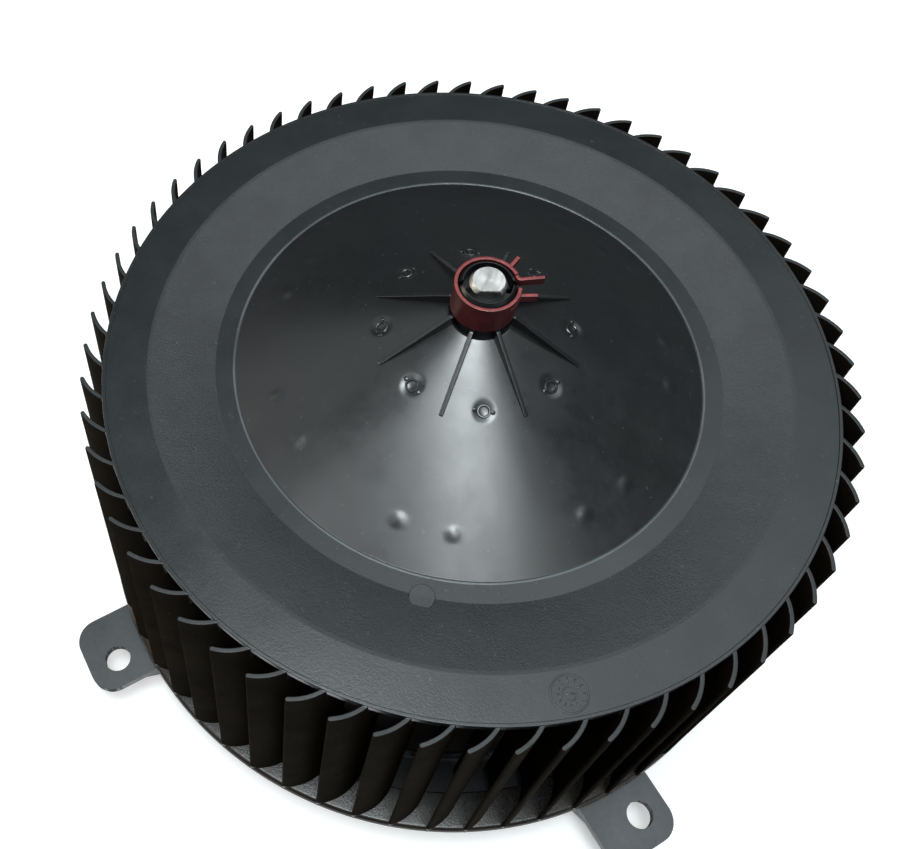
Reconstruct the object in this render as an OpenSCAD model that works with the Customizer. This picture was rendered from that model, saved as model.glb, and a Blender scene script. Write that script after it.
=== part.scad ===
// Blower motor: a moulded fan wheel on a shaft, driven from inside by a brushed motor
// that a ring frame with four ears holds across the air inlet. Millimetres, +Z up.
// The shaft lies on Z, and the frame's skirt stands on z = 0.

/* [Fan wheel disc] */
// Radius of the closed disc's edge
disc_r = 85; // [78:0.5:86]
// Wall thickness of the disc and its cone
disc_wall = 2.2; // [1.6:0.1:3]
// Height of the raised bead round the disc's edge
bead_h = 0.25; // [0.1:0.05:0.6]
// Width of the raised bead round the disc's edge
bead_w = 0.8; // [0.5:0.1:1.5]
// Radius of the small step where the dished ring starts
step_r = 74.6; // [70:0.2:76]
// Height of that step
step_h = 0.35; // [0.1:0.05:0.8]
// Outer radius of the flat land round the cone
land_r = 59.4; // [57.5:0.2:64]
// Depth of the flat land below the disc's edge
land_drop = 2.7; // [1.5:0.1:4]
// Radius of the cone's foot
cone_foot_r = 55; // [51:0.5:56.5]
// Height of the cone's top above the disc's edge
cone_top = 16.4; // [14:0.2:20]
// Radius of the neck at the cone's top
neck_r = 7.3; // [7:0.1:9]

/* [Fan wheel blades] */
// Number of blades
blade_count = 62; // [48:1:66]
// Height of the wheel from its lower edge to the disc's edge
wheel_h = 77.8; // [77:0.2:84]
// Radius of the blade tips at the disc
tip_top_r = 89.5; // [88:0.5:91]
// Radius of the blade tips at the lower ring
tip_low_r = 95; // [92:0.5:98]
// Thickness of a blade
blade_t = 1; // [0.8:0.1:1.4]
// Radius of the arc that a blade follows
blade_arc_r = 12.5; // [11.5:0.1:13]
// Angle between the blade and the radius at its tip
tip_angle = 66; // [58:1:70]
// Angle between the blade and the radius at its inner edge
root_angle = -16; // [-17:1:-8]
// Inner radius of the lower ring that ties the blades
ring_in_r = 86; // [85.5:0.5:89]
// Thickness of the lower ring
ring_t = 2.8; // [2:0.1:4]

/* [Fan wheel hub] */
// Number of gusset ribs round the hub
rib_count = 8; // [6:1:10]
// Thickness of a gusset rib
rib_t = 1; // [0.8:0.1:1.6]
// Radius where a gusset rib runs out into the cone
rib_r = 24; // [18:0.5:28]
// Turn of the ribs about the shaft
rib_turn = -6.4; // [-20:0.1:20]
// Radius of the ejector pin marks between the ribs
pip_r = 20.3; // [16:0.1:26]
// Radius of the dimples low on the cone
dimple_place_r = 46; // [38:0.5:48]
// Number of dimple pairs
dimple_pairs = 7; // [4:1:10]
// Outer radius of the split collet
collet_r = 6.3; // [6.2:0.1:6.7]
// Height of the collet's top above the disc's edge
collet_top = 27.2; // [26.9:0.1:30]
// Width of the collet's slots
collet_slot_w = 1.2; // [0.8:0.1:2]
// Radius of the sleeve inside the cone
sleeve_r = 9; // [8:0.2:11]
// Depth of the sleeve's lower end below the disc's edge
sleeve_drop = 1; // [-2:0.5:2]

/* [Hub clip] */
// Thickness of the clip's band
clip_t = 0.8; // [0.6:0.1:1.2]
// Height of the clip's band
clip_h = 7.5; // [6:0.1:7.6]
// Height of the clip's lower edge above the disc's edge
clip_low = 19.3; // [19.2:0.1:19.6]
// Reach of the long grip tang beyond the band
tang_len = 5.5; // [4:0.1:7]
// Height of a grip tang
tang_h = 2; // [1.2:0.1:3]

/* [Shaft] */
// Radius of the shaft
shaft_r = 4; // [3.5:0.1:4.5]
// Depth of the flat that drives the hub
flat_depth = 1; // [0.6:0.1:1.2]
// Height of the shaft's end above the disc's edge
shaft_top = 28; // [27.5:0.1:31]
// Radial clearance of the shaft in its bearings
shaft_clear = 0.03; // [0.02:0.01:0.08]
// Radial clearance of the shaft in the hub
hub_clear = 0.02; // [0.01:0.01:0.05]

/* [Motor can] */
// Outer radius of the motor can
can_r = 31; // [30.5:0.1:31.5]
// Wall thickness of the can
can_wall = 1.8; // [1.5:0.1:2]
// Depth of the can's closed end below the disc's edge
can_drop = 13; // [12.5:0.5:15]
// Outer corner radius of the can's closed end
can_corner_r = 4; // [3:0.5:6]
// Outer radius of the bearing boss
boss_r = 10.5; // [10:0.1:12]
// Height of the bearing boss above the can
boss_h = 6; // [5:0.5:7]

/* [Magnets and armature] */
// Radial thickness of a magnet
magnet_t = 4.6; // [4:0.1:5]
// Length of a magnet along the shaft
magnet_len = 34; // [30:1:36]
// Angle that one magnet covers
magnet_arc = 132; // [120:1:140]
// Air gap between the magnets and the armature
air_gap = 0.6; // [0.4:0.1:1]
// Length of the armature's stack of plates
core_len = 25; // [20:1:26]
// Number of armature teeth
tooth_count = 12; // [8:1:12]
// Width of a slot's mouth
slot_mouth = 2.2; // [1.6:0.1:2.6]
// Radius of a slot's pocket
slot_pocket_r = 3; // [2.6:0.1:3.2]
// Height of the copper end turns beyond the stack
end_turn_h = 6.5; // [5:0.5:6.5]
// Radius of the commutator's running face
commutator_r = 11; // [10:0.1:11.5]
// Length of the commutator
commutator_len = 15; // [14:0.5:15.5]
// Gap between neighbouring commutator bars
bar_gap = 0.6; // [0.4:0.1:0.9]

/* [Bearings] */
// Radius of the ball-shaped bearing bushes
bush_r = 7.5; // [7:0.1:7.8]
// Length of a bearing bush along the shaft
bush_len = 8; // [7:0.5:9]
// Clearance of a bush in its seat
bush_clear = 0.05; // [0.02:0.01:0.1]

/* [Brush gear] */
// Thickness of the plate that carries the brush gear
card_t = 2; // [1.5:0.1:2.5]
// Width and height of a carbon brush
brush_w = 8; // [7:0.2:8.6]
// Length of a carbon brush
brush_len = 11; // [9:0.5:12]
// Travel of a brush in its tube
brush_travel = 3; // [2:0.5:3.5]
// Wall thickness of a brush tube
tube_wall = 0.8; // [0.6:0.1:1]
// Clearance round a brush in its tube
tube_clear = 0.2; // [0.15:0.05:0.35]
// Gap between a brush and the commutator
brush_gap = 0.1; // [0.08:0.01:0.2]
// Half the thickness of a brush spring's wire
spring_wire_r = 0.25; // [0.2:0.05:0.3]
// Radius of a choke coil
choke_r = 3.6; // [3:0.1:4]
// Length of a choke's ferrite rod
choke_len = 13; // [10:0.5:13]

/* [Mounting frame] */
// Height of the frame's skirt, up to the ears' upper faces
frame_h = 14; // [12:0.5:16]
// Outer radius of the frame's skirt
skirt_r = 93; // [91:0.5:93.5]
// Wall thickness of the frame's skirt
skirt_wall = 2; // [1.6:0.1:3]
// Thickness of the frame's deck
deck_t = 2.5; // [2:0.1:3]
// Inner radius of the air inlet
inlet_r = 75.6; // [73:0.2:76]
// Height of the inlet lip above the deck
lip_h = 6; // [4:0.5:8]
// Running gap between the frame's deck and the wheel
wheel_gap = 3.2; // [2.5:0.1:5]
// Number of stiffening ribs under the deck
deck_rib_count = 32; // [16:4:40]
// Width of a spoke's flange
spoke_w = 9; // [7:0.5:12]
// Thickness of a spoke's web
spoke_web_t = 3; // [2.4:0.1:4]
// Inner radius of the cradle that holds the motor
cradle_r = 34.6; // [34:0.1:36]
// Wall thickness of the cradle
cradle_wall = 2.5; // [2:0.1:3]
// Height of the cradle's rim above the base
cradle_top_z = 42; // [36:1:46]
// Height of the cradle's floor above the base
floor_z = 9; // [8.5:0.5:9.5]

/* [Ears] */
// Distance of an ear's hole from the shaft
ear_hole_place_r = 103.4; // [102:0.2:105]
// Radius of an ear's hole
ear_hole_r = 3.5; // [2.5:0.1:4]
// Distance of an ear's end from the shaft
ear_end_r = 111.6; // [110:0.2:114]
// Width of an ear
ear_w = 20.9; // [19:0.1:25]
// Sideways shift of an ear against its hole
ear_shift = -2.7; // [-4:0.1:0]
// Thickness of an ear
ear_t = 3; // [2.5:0.1:4]
// Corner radius of an ear
ear_corner_r = 6; // [4:0.5:8]

/* [Connector] */
// Inner width of the connector socket
socket_w = 19; // [18:0.5:20]
// Inner depth of the connector socket
socket_d = 9; // [8.5:0.1:9.4]
// Wall thickness of the connector
socket_wall = 1.4; // [1:0.1:1.5]
// Distance between the two blade terminals
terminal_pitch = 11; // [10:0.5:12]
// Thickness of a blade terminal
terminal_t = 0.8; // [0.6:0.1:1]
// Width of a blade terminal
terminal_w = 6.3; // [4.8:0.1:6.8]

/* [Hidden] */

// Colours
plastic_black = [0.13, 0.14, 0.15];
frame_black = [0.17, 0.18, 0.19];
clip_red = [0.5, 0.1, 0.1];
resin_red = [0.7, 0.2, 0.15];
steel = [0.72, 0.73, 0.74];
zinc = [0.6, 0.61, 0.63];
copper = [0.72, 0.42, 0.25];
brass = [0.75, 0.62, 0.3];
ferrite = [0.2, 0.19, 0.19];
carbon = [0.15, 0.15, 0.15];
rubber_black = [0.08, 0.08, 0.08];
phenolic = [0.4, 0.24, 0.13];
bronze = [0.55, 0.42, 0.28];
insulator_green = [0.2, 0.35, 0.3];

// Heights that follow from the sizes
wheel_z = frame_h + wheel_gap;
rim_z = wheel_z + wheel_h;
can_top_z = rim_z - can_drop;
shaft_low_z = floor_z + 3;
shaft_end_z = rim_z + shaft_top;
isolator_z = floor_z + 2.5;
shield_z = isolator_z + 3.5;
shield_t = 2.5;
can_low_z = shield_z + shield_t;
card_z = can_low_z + 1.5;
tube_z = card_z + card_t;
brush_z = tube_z + tube_wall + tube_clear;
commutator_z = card_z + 1.5;
core_z = commutator_z + commutator_len + end_turn_h + 3;
core_top_z = core_z + core_len;
core_mid_z = core_z + core_len / 2;
upper_bush_z = can_top_z + boss_h - can_wall - bush_len / 2;
lower_bush_z = shield_z + 0.5;

// Gap left between pieces that seat on each other
seat = 0.05;
// Reach of a cut past the face that it opens
cut = 1;
// Facet counts of large, middling and small round forms
fine = 128;
plain = 48;
small = 24;
// Turns of the spokes, the ears and the brush card's posts
quarter_turns = [45, 135, 225, 315];

// Radii inside the motor
can_in_r = can_r - can_wall;
magnet_r = can_in_r - 0.2;
core_r = magnet_r - magnet_t - air_gap;
slot_place_r = core_r - slot_pocket_r - 1.6;
bar_in_r = commutator_r - 3;

// Thicknesses of the armature's insulators and of the bearing retainers
insulator_t = 0.8;
retainer_t = 0.6;

// Motor screws, and the spigot and posts of the end shield
screw_place_r = can_in_r - 2.7;
screw_r = 2;
screw_turns = [90, 210, 330];
screw_clear = 0.3;
spigot_h = 2.5;
spigot_t = 1.5;
post_r = 2.4;
post_place_r = screw_place_r - 4.5;

// Connector and its terminals
socket_y = -boss_r - 1.5 - socket_wall - socket_d / 2;
connector_w = socket_w + 2 * socket_wall;
connector_d = socket_d + 2 * socket_wall;
connector_low_z = 1;
terminal_low_z = 4;
terminal_clear = 0.1;

// Brush tubes, brushes and springs along a radius
tube_in_w = brush_w + 2 * tube_clear;
tube_out_w = tube_in_w + 2 * tube_wall;
tube_start = commutator_r + 1.5;
brush_start = commutator_r + brush_gap;
spring_start = brush_start + brush_len;
tube_end = spring_start + brush_travel + 2 * spring_wire_r + 0.3;

// Isolators, the cradle's floor, the inlet lip and the bell mouth under the deck
iso_in_r = can_r + seat;
iso_out_r = cradle_r - seat;
seat_in_r = 20;
lip_t = 2;
bell_r = 4;
bell_z = frame_h - deck_t - 1.5;

// Slope of the cone and the height of its upper face at a radius
bend_r = cone_foot_r - 9;
bend_z = -land_drop + 2.1;
cone_slope = atan((cone_top - bend_z) / (bend_r - neck_r));
function cone_z(r) = cone_top - (r - neck_r) * tan(cone_slope);

// Angles of the blades, the hub's flat and its slots, the dimples, and the clip's gap and tangs
lean = atan((tip_low_r - tip_top_r) / wheel_h);
first_blade_turn = 108;
flat_turn = rib_turn - 3 * 180 / rib_count;
dimple_turn = -38.3;
dimple_half_turn = 7.5;
clip_gap_start = 9;
clip_gap_end = 29;
clip_tab_turn = 59;

// Outer radius of the lower ring
ring_out_r = tip_low_r + 0.5;

// Sizes of the ribs inside the cone, of the pin marks and of the dimples
inner_rib_t = 1.6;
inner_rib_r = rib_r + 8;
mark_r = 1.6;
mark_h = 0.5;
mark_bore_r = 0.9;
mark_floor_h = 0.1;
dimple_r = 2.6;
dimple_depth = 0.45;

// Recess and chamfer at the collet's top
recess_r = shaft_r + 1.2;
recess_depth = 3;
collet_chamfer = 1;

// Ring round Z from z1 to z2
module ring(r_out, r_in, z1, z2, fn = fine) {
    translate([0, 0, z1])
        difference() {
            cylinder(r = r_out, h = z2 - z1, $fn = fn);
            translate([0, 0, -cut]) cylinder(r = r_in, h = z2 - z1 + 2 * cut, $fn = fn);
        }
}

// Flat wedge between two angles less than 170 degrees apart
module wedge(a1, a2, r) {
    mid = (a1 + a2) / 2;
    polygon([[0, 0], r * [cos(a1), sin(a1)], 1.6 * r * [cos(mid), sin(mid)], r * [cos(a2), sin(a2)]]);
}

// Profile from the axis with its upper outer corner rounded
module cup_profile(r, h, corner) {
    square([r - corner, h]);
    square([r, h - corner]);
    translate([r - corner, h - corner]) circle(r = corner, $fn = plain);
}

// Shaft's section with its driving flat, grown by a clearance
module flatted_circle(grow) {
    difference() {
        circle(r = shaft_r + grow, $fn = plain);
        translate([-shaft_r - cut, flat_depth - grow - 3 * shaft_r])
            square([2 * (shaft_r + cut), 2 * shaft_r]);
    }
}

// Fan wheel

module wheel_disc() {
    upper = [
        [disc_r, 0],
        [disc_r - bead_w, 0],
        [disc_r - bead_w, -bead_h],
        [step_r, -bead_h],
        [step_r - step_h, -bead_h - step_h],
        [land_r, -land_drop],
        [cone_foot_r, -land_drop],
        [cone_foot_r - 0.5, -land_drop - 0.4],
        [cone_foot_r - 4, -land_drop + 0.5],
        [bend_r, bend_z],
        [neck_r, cone_top],
        [neck_r - 1.5, cone_top]
    ];
    lower = [for (i = [len(upper) - 1:-1:0]) [upper[i][0], upper[i][1] - disc_wall]];
    translate([0, 0, rim_z]) rotate_extrude($fn = fine) polygon(concat(upper, lower));
}

module blade_section() {
    translate(-blade_arc_r * [sin(tip_angle), cos(tip_angle)])
        intersection() {
            difference() {
                circle(r = blade_arc_r + blade_t / 2, $fn = plain);
                circle(r = blade_arc_r - blade_t / 2, $fn = plain);
            }
            wedge(90 - tip_angle, 90 - root_angle, 2 * blade_arc_r);
        }
}

module blade() {
    over = 4;
    foot = 0.4;
    head = 0.3;
    intersection() {
        translate([tip_top_r, 0, rim_z])
            rotate([0, -lean, 0])
                translate([0, 0, -wheel_h - over])
                    linear_extrude(wheel_h + 2 * over) blade_section();
        translate([tip_top_r - 2 * blade_arc_r, -blade_arc_r, wheel_z + foot])
            cube([4 * blade_arc_r, 3 * blade_arc_r, wheel_h - foot - head]);
    }
}

module lower_ring() {
    edge_r = ring_t / 2;
    translate([0, 0, wheel_z])
        rotate_extrude($fn = fine) {
            translate([ring_in_r, 0]) square([ring_out_r - edge_r - ring_in_r, ring_t]);
            translate([ring_out_r - edge_r, edge_r]) circle(r = edge_r, $fn = plain);
        }
}

module hub_ribs() {
    for (i = [0:rib_count - 1])
        rotate([0, 0, rib_turn + i * 360 / rib_count])
            translate([0, rib_t / 2, rim_z])
                rotate([90, 0, 0])
                    linear_extrude(rib_t)
                        polygon([
                            [collet_r - 1, cone_top - 1],
                            [collet_r - 1, clip_low - 0.3],
                            [neck_r + 0.3, clip_low - 0.3],
                            [rib_r, cone_z(rib_r)],
                            [rib_r - 2, cone_z(rib_r) - 0.8]
                        ]);
}

module inner_ribs() {
    for (i = [0:rib_count - 1])
        rotate([0, 0, rib_turn + (i + 0.5) * 360 / rib_count])
            translate([0, inner_rib_t / 2, rim_z])
                rotate([90, 0, 0])
                    linear_extrude(inner_rib_t)
                        polygon([
                            [sleeve_r - 1, 1 - sleeve_drop],
                            [sleeve_r - 1, cone_z(sleeve_r) - disc_wall + 0.5],
                            [inner_rib_r, cone_z(inner_rib_r) - disc_wall + 0.5],
                            [inner_rib_r, cone_z(inner_rib_r) - disc_wall - 1]
                        ]);
}

module pin_marks() {
    for (i = [0:rib_count - 1])
        rotate([0, 0, rib_turn + (i + 0.5) * 360 / rib_count])
            translate([pip_r, 0, rim_z + cone_z(pip_r)])
                rotate([0, cone_slope, 0])
                    difference() {
                        translate([0, 0, -disc_wall / 2])
                            cylinder(r = mark_r, h = disc_wall / 2 + mark_h, $fn = small);
                        translate([0, 0, mark_floor_h])
                            cylinder(r = mark_bore_r, h = cut, $fn = small);
                    }
}

module cone_dimples() {
    ball_r = (dimple_r * dimple_r + dimple_depth * dimple_depth) / (2 * dimple_depth);
    for (i = [0:dimple_pairs - 1], side = [-1, 1])
        rotate([0, 0, dimple_turn + i * 360 / dimple_pairs + side * dimple_half_turn])
            translate([dimple_place_r, 0, rim_z + cone_z(dimple_place_r)])
                rotate([0, cone_slope, 0])
                    translate([0, 0, ball_r - dimple_depth]) sphere(r = ball_r, $fn = plain);
}

module hub() {
    translate([0, 0, rim_z]) {
        translate([0, 0, cone_top - disc_wall])
            cylinder(r = collet_r, h = collet_top - cone_top + disc_wall - collet_chamfer, $fn = plain);
        translate([0, 0, collet_top - collet_chamfer])
            cylinder(r1 = collet_r, r2 = collet_r - collet_chamfer, h = collet_chamfer, $fn = plain);
        translate([0, 0, -sleeve_drop])
            cylinder(r = sleeve_r, h = cone_z(sleeve_r) - disc_wall / 2 + sleeve_drop, $fn = plain);
    }
}

module hub_cuts() {
    translate([0, 0, rim_z]) {
        rotate([0, 0, flat_turn + 90])
            translate([0, 0, -sleeve_drop - cut])
                linear_extrude(collet_top + sleeve_drop + 2 * cut) flatted_circle(hub_clear);
        translate([0, 0, collet_top - recess_depth])
            cylinder(r = recess_r, h = recess_depth + cut, $fn = plain);
        for (turn = [0, 180])
            rotate([0, 0, flat_turn + 90 + turn])
                translate([0, -collet_slot_w / 2, clip_low - 0.1])
                    cube([2 * collet_r, collet_slot_w, collet_top - clip_low + cut]);
    }
}

module fan_wheel() {
    color(plastic_black)
        difference() {
            union() {
                wheel_disc();
                for (i = [0:blade_count - 1])
                    rotate([0, 0, first_blade_turn + i * 360 / blade_count]) blade();
                lower_ring();
                hub();
                hub_ribs();
                inner_ribs();
                pin_marks();
            }
            hub_cuts();
            cone_dimples();
        }
}

// Hub clip and shaft

module clip_tang(side, turn, skew, len, low) {
    // A tang starts on the band beside a radius, away from the clip's gap, and may be skew to the radius
    beside = 0.15;
    rotate([0, 0, turn])
        translate([collet_r + seat + clip_t / 2, side > 0 ? beside : -beside - clip_t, low])
            rotate([0, 0, skew])
                cube([len + clip_t / 2, clip_t, tang_h]);
}

module hub_clip() {
    band_in_r = collet_r + seat;
    tang_low = clip_h - tang_h - 0.3;
    color(clip_red)
        translate([0, 0, rim_z + clip_low]) {
            difference() {
                ring(band_in_r + clip_t, band_in_r, 0, clip_h, plain);
                translate([0, 0, -cut])
                    linear_extrude(clip_h + 2 * cut) wedge(clip_gap_start, clip_gap_end, 2 * collet_r);
            }
            clip_tang(1, clip_gap_end, -6.9, tang_len, tang_low);
            clip_tang(-1, clip_gap_start, 6, 0.7 * tang_len, tang_low - 0.7 * tang_h);
            clip_tang(1, clip_tab_turn, 8.1, 0.55 * tang_len, tang_low);
        }
}

module motor_shaft() {
    bevel = 0.5;
    flat_z = rim_z - sleeve_drop - 2;
    color(steel)
        difference() {
            rotate_extrude($fn = plain)
                polygon([
                    [0, shaft_low_z],
                    [shaft_r - bevel, shaft_low_z],
                    [shaft_r, shaft_low_z + bevel],
                    [shaft_r, shaft_end_z - bevel],
                    [shaft_r - bevel, shaft_end_z],
                    [0, shaft_end_z]
                ]);
            rotate([0, 0, flat_turn + 90])
                translate([-2 * shaft_r, flat_depth - 3 * shaft_r, flat_z])
                    cube([4 * shaft_r, 2 * shaft_r, shaft_end_z - flat_z + cut]);
        }
}

// Armature

module each_slot() {
    for (i = [0:tooth_count - 1]) rotate([0, 0, (i + 0.5) * 360 / tooth_count]) children();
}

module core_section() {
    difference() {
        circle(r = core_r, $fn = fine);
        circle(r = shaft_r + hub_clear, $fn = plain);
        each_slot() {
            translate([slot_place_r, 0]) circle(r = slot_pocket_r, $fn = small);
            translate([slot_place_r, -slot_mouth / 2]) square([2 * slot_pocket_r, slot_mouth]);
        }
    }
}

module armature_core() {
    color(zinc) translate([0, 0, core_z]) linear_extrude(core_len) core_section();
}

module end_insulators() {
    color(insulator_green)
        for (z = [core_z - insulator_t, core_top_z])
            translate([0, 0, z]) linear_extrude(insulator_t) core_section();
}

module end_turn() {
    // Copper bundled round the shaft, standing on z = 0
    out_r = slot_place_r + slot_pocket_r - 0.2;
    in_r = shaft_r + 2.5;
    rotate_extrude($fn = fine)
        difference() {
            cup_profile(out_r, end_turn_h, 2.5);
            translate([-cut, -cut]) square([in_r + cut, end_turn_h + 2 * cut]);
        }
}

module armature_winding() {
    color(copper) {
        translate([0, 0, core_top_z + insulator_t]) end_turn();
        translate([0, 0, core_z - insulator_t]) mirror([0, 0, 1]) end_turn();
        each_slot()
            translate([slot_place_r, 0, core_z - insulator_t - 0.5])
                cylinder(r = slot_pocket_r - 0.2, h = core_len + 2 * insulator_t + 1, $fn = small);
    }
}

module commutator_bars() {
    hook_h = 1.6;
    hook_w = 2;
    span = 4 * commutator_r;
    color(copper)
        for (i = [0:tooth_count - 1])
            rotate([0, 0, i * 360 / tooth_count])
                translate([0, 0, commutator_z])
                    difference() {
                        union() {
                            cylinder(r = commutator_r, h = commutator_len, $fn = fine);
                            translate([0, -hook_w / 2, commutator_len - hook_h])
                                cube([commutator_r + hook_h, hook_w, hook_h]);
                        }
                        translate([0, 0, -cut])
                            cylinder(r = bar_in_r, h = commutator_len + 2 * cut, $fn = plain);
                        for (side = [-1, 1])
                            rotate([0, 0, side * 180 / tooth_count])
                                translate([-span / 2, side > 0 ? -bar_gap / 2 : bar_gap / 2 - span, -cut])
                                    cube([span, span, commutator_len + 2 * cut]);
                    }
}

module commutator_core() {
    color(phenolic)
        ring(bar_in_r - 0.02, shaft_r + hub_clear, commutator_z, commutator_z + commutator_len, plain);
}

module thrust_washers() {
    washer_t = 0.5;
    color(bronze)
        for (z = [commutator_z - washer_t - 0.1, upper_bush_z - bush_len / 2 - washer_t - 0.1])
            ring(shaft_r + 2.6, shaft_r + hub_clear, z, z + washer_t, plain);
}

// Motor can and what it holds

module motor_can() {
    boss_corner_r = 2;
    room_h = can_top_z - can_wall - can_low_z + can_corner_r;
    color(zinc)
        rotate_extrude($fn = fine)
            difference() {
                union() {
                    translate([0, can_low_z]) cup_profile(can_r, can_top_z - can_low_z, can_corner_r);
                    translate([0, can_top_z - cut]) cup_profile(boss_r, boss_h + cut, boss_corner_r);
                }
                translate([0, can_low_z - can_corner_r])
                    cup_profile(can_in_r, room_h, can_corner_r - can_wall);
                square([bush_r + bush_clear, can_top_z + boss_h - can_wall]);
                square([shaft_r + 1, can_top_z + boss_h + cut]);
            }
}

module magnet(turn) {
    color(ferrite)
        rotate([0, 0, turn])
            translate([0, 0, core_mid_z - magnet_len / 2])
                linear_extrude(magnet_len)
                    intersection() {
                        difference() {
                            circle(r = magnet_r, $fn = fine);
                            circle(r = magnet_r - magnet_t, $fn = fine);
                        }
                        wedge(-magnet_arc / 2, magnet_arc / 2, 2 * magnet_r);
                    }
}

module magnet_left() { magnet(180); }
module magnet_right() { magnet(0); }

module magnet_springs() {
    strip_t = 0.7;
    half = (180 - magnet_arc) / 2;
    spring_len = magnet_len - 8;
    color(steel)
        for (turn = [90, 270])
            rotate([0, 0, turn])
                translate([0, 0, core_mid_z - spring_len / 2])
                    linear_extrude(spring_len) {
                        intersection() {
                            difference() {
                                circle(r = magnet_r, $fn = fine);
                                circle(r = magnet_r - strip_t, $fn = fine);
                            }
                            wedge(-half + 0.3, half - 0.3, 2 * magnet_r);
                        }
                        for (side = [-1, 1])
                            rotate([0, 0, side * (half - 0.3)])
                                translate([magnet_r - magnet_t, side > 0 ? -strip_t : 0])
                                    square([magnet_t - strip_t / 2, strip_t]);
                    }
}

module bush(z) {
    translate([0, 0, z])
        difference() {
            intersection() {
                sphere(r = bush_r, $fn = plain);
                cylinder(r = 2 * bush_r, h = bush_len, center = true, $fn = plain);
            }
            cylinder(r = shaft_r + shaft_clear, h = 2 * bush_r, center = true, $fn = plain);
        }
}

module upper_bearing() { color(bronze) bush(upper_bush_z); }
module lower_bearing() { color(bronze) bush(lower_bush_z); }

module retainer(z) {
    // Star washer: a flat ring with fingers towards the bush
    fingers = 8;
    color(steel)
        translate([0, 0, z])
            linear_extrude(retainer_t)
                difference() {
                    circle(r = boss_r + 0.4, $fn = plain);
                    circle(r = bush_r, $fn = plain);
                    for (i = [0:fingers - 1])
                        rotate([0, 0, i * 360 / fingers])
                            translate([0, -0.6]) square([bush_r + 1.6, 1.2]);
                }
}

module upper_bearing_retainer() { retainer(can_top_z - can_wall - retainer_t); }
module lower_bearing_retainer() { retainer(can_low_z); }

// End shield, brush gear and connector

module each_screw() {
    for (turn = screw_turns) rotate([0, 0, turn]) translate([screw_place_r, 0, 0]) children();
}

module terminal_slots(z1, z2) {
    slot_t = terminal_t + 2 * terminal_clear;
    slot_w = terminal_w + 2 * terminal_clear;
    for (side = [-1, 1])
        translate([side * terminal_pitch / 2 - slot_t / 2, socket_y - slot_w / 2, z1])
            cube([slot_t, slot_w, z2 - z1]);
}

module end_shield() {
    boss_floor_t = 1.5;
    boss_low_z = lower_bush_z - bush_len / 2 - boss_floor_t;
    color(frame_black)
        difference() {
            union() {
                ring(can_r, bush_r, shield_z, can_low_z);
                ring(can_in_r - seat, can_in_r - spigot_t, shield_z, can_low_z + spigot_h);
                translate([0, 0, boss_low_z])
                    cylinder(r = boss_r, h = can_low_z - boss_low_z, $fn = plain);
                for (turn = quarter_turns)
                    rotate([0, 0, turn])
                        translate([post_place_r, 0, shield_z])
                            cylinder(r = post_r, h = card_z - shield_z, $fn = small);
            }
            translate([0, 0, boss_low_z + boss_floor_t])
                cylinder(r = bush_r + bush_clear, h = card_z - boss_low_z, $fn = plain);
            each_screw()
                translate([0, 0, shield_z - cut])
                    cylinder(r = screw_r + seat, h = card_z - shield_z, $fn = small);
            terminal_slots(shield_z - cut, can_low_z + cut);
        }
}

module brush_card() {
    card_r = can_in_r - spigot_t - screw_clear;
    color(phenolic)
        translate([0, 0, card_z])
            difference() {
                cylinder(r = card_r, h = card_t, $fn = fine);
                translate([0, 0, -cut])
                    cylinder(r = commutator_r + 0.9, h = card_t + 2 * cut, $fn = plain);
                terminal_slots(-cut, card_t + cut);
                each_screw()
                    translate([0, 0, -cut])
                        cylinder(r = screw_r + 1, h = card_t + 2 * cut, $fn = small);
            }
}

module brush_tube(turn) {
    lead_slot_w = 1.6;
    color(brass)
        rotate([0, 0, turn])
            difference() {
                translate([tube_start, -tube_out_w / 2, tube_z])
                    cube([tube_end + tube_wall - tube_start, tube_out_w, tube_out_w]);
                translate([tube_start - cut, -tube_in_w / 2, tube_z + tube_wall])
                    cube([tube_end - tube_start + cut, tube_in_w, tube_in_w]);
                // Slot for the brush's lead
                translate([tube_start + 4, -lead_slot_w / 2, tube_z + tube_out_w / 2])
                    cube([tube_end - tube_start - 5, lead_slot_w, tube_out_w]);
            }
}

module brush(turn) {
    color(carbon)
        rotate([0, 0, turn])
            difference() {
                translate([0, -brush_w / 2, brush_z]) cube([spring_start, brush_w, brush_w]);
                translate([0, 0, brush_z - cut]) cylinder(r = brush_start, h = brush_w + 2 * cut, $fn = fine);
            }
}

module brush_spring(turn) {
    // Coil of square wire with ground ends, its section an arc that the twist draws out
    spring_r = 2.8;
    coils = 2.5;
    len = tube_end - spring_start - 2 * seat;
    pitch = (len - 2 * spring_wire_r) / coils;
    wire_arc = 360 * 2 * spring_wire_r / pitch;
    steps = 5;
    arc = [for (i = [0:steps]) [cos(i * wire_arc / steps), sin(i * wire_arc / steps)]];
    color(steel)
        rotate([0, 0, turn])
            translate([spring_start + seat, 0, brush_z + brush_w / 2])
                rotate([0, 90, 0])
                    linear_extrude(len, twist = 360 * len / pitch, slices = 30)
                        polygon(concat(
                            [for (i = [0:steps]) (spring_r + spring_wire_r) * arc[i]],
                            [for (i = [steps:-1:0]) (spring_r - spring_wire_r) * arc[i]]
                        ));
}

module brush_tube_left() { brush_tube(180); }
module brush_tube_right() { brush_tube(0); }
module brush_left() { brush(180); }
module brush_right() { brush(0); }
module brush_spring_left() { brush_spring(180); }
module brush_spring_right() { brush_spring(0); }

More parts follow.
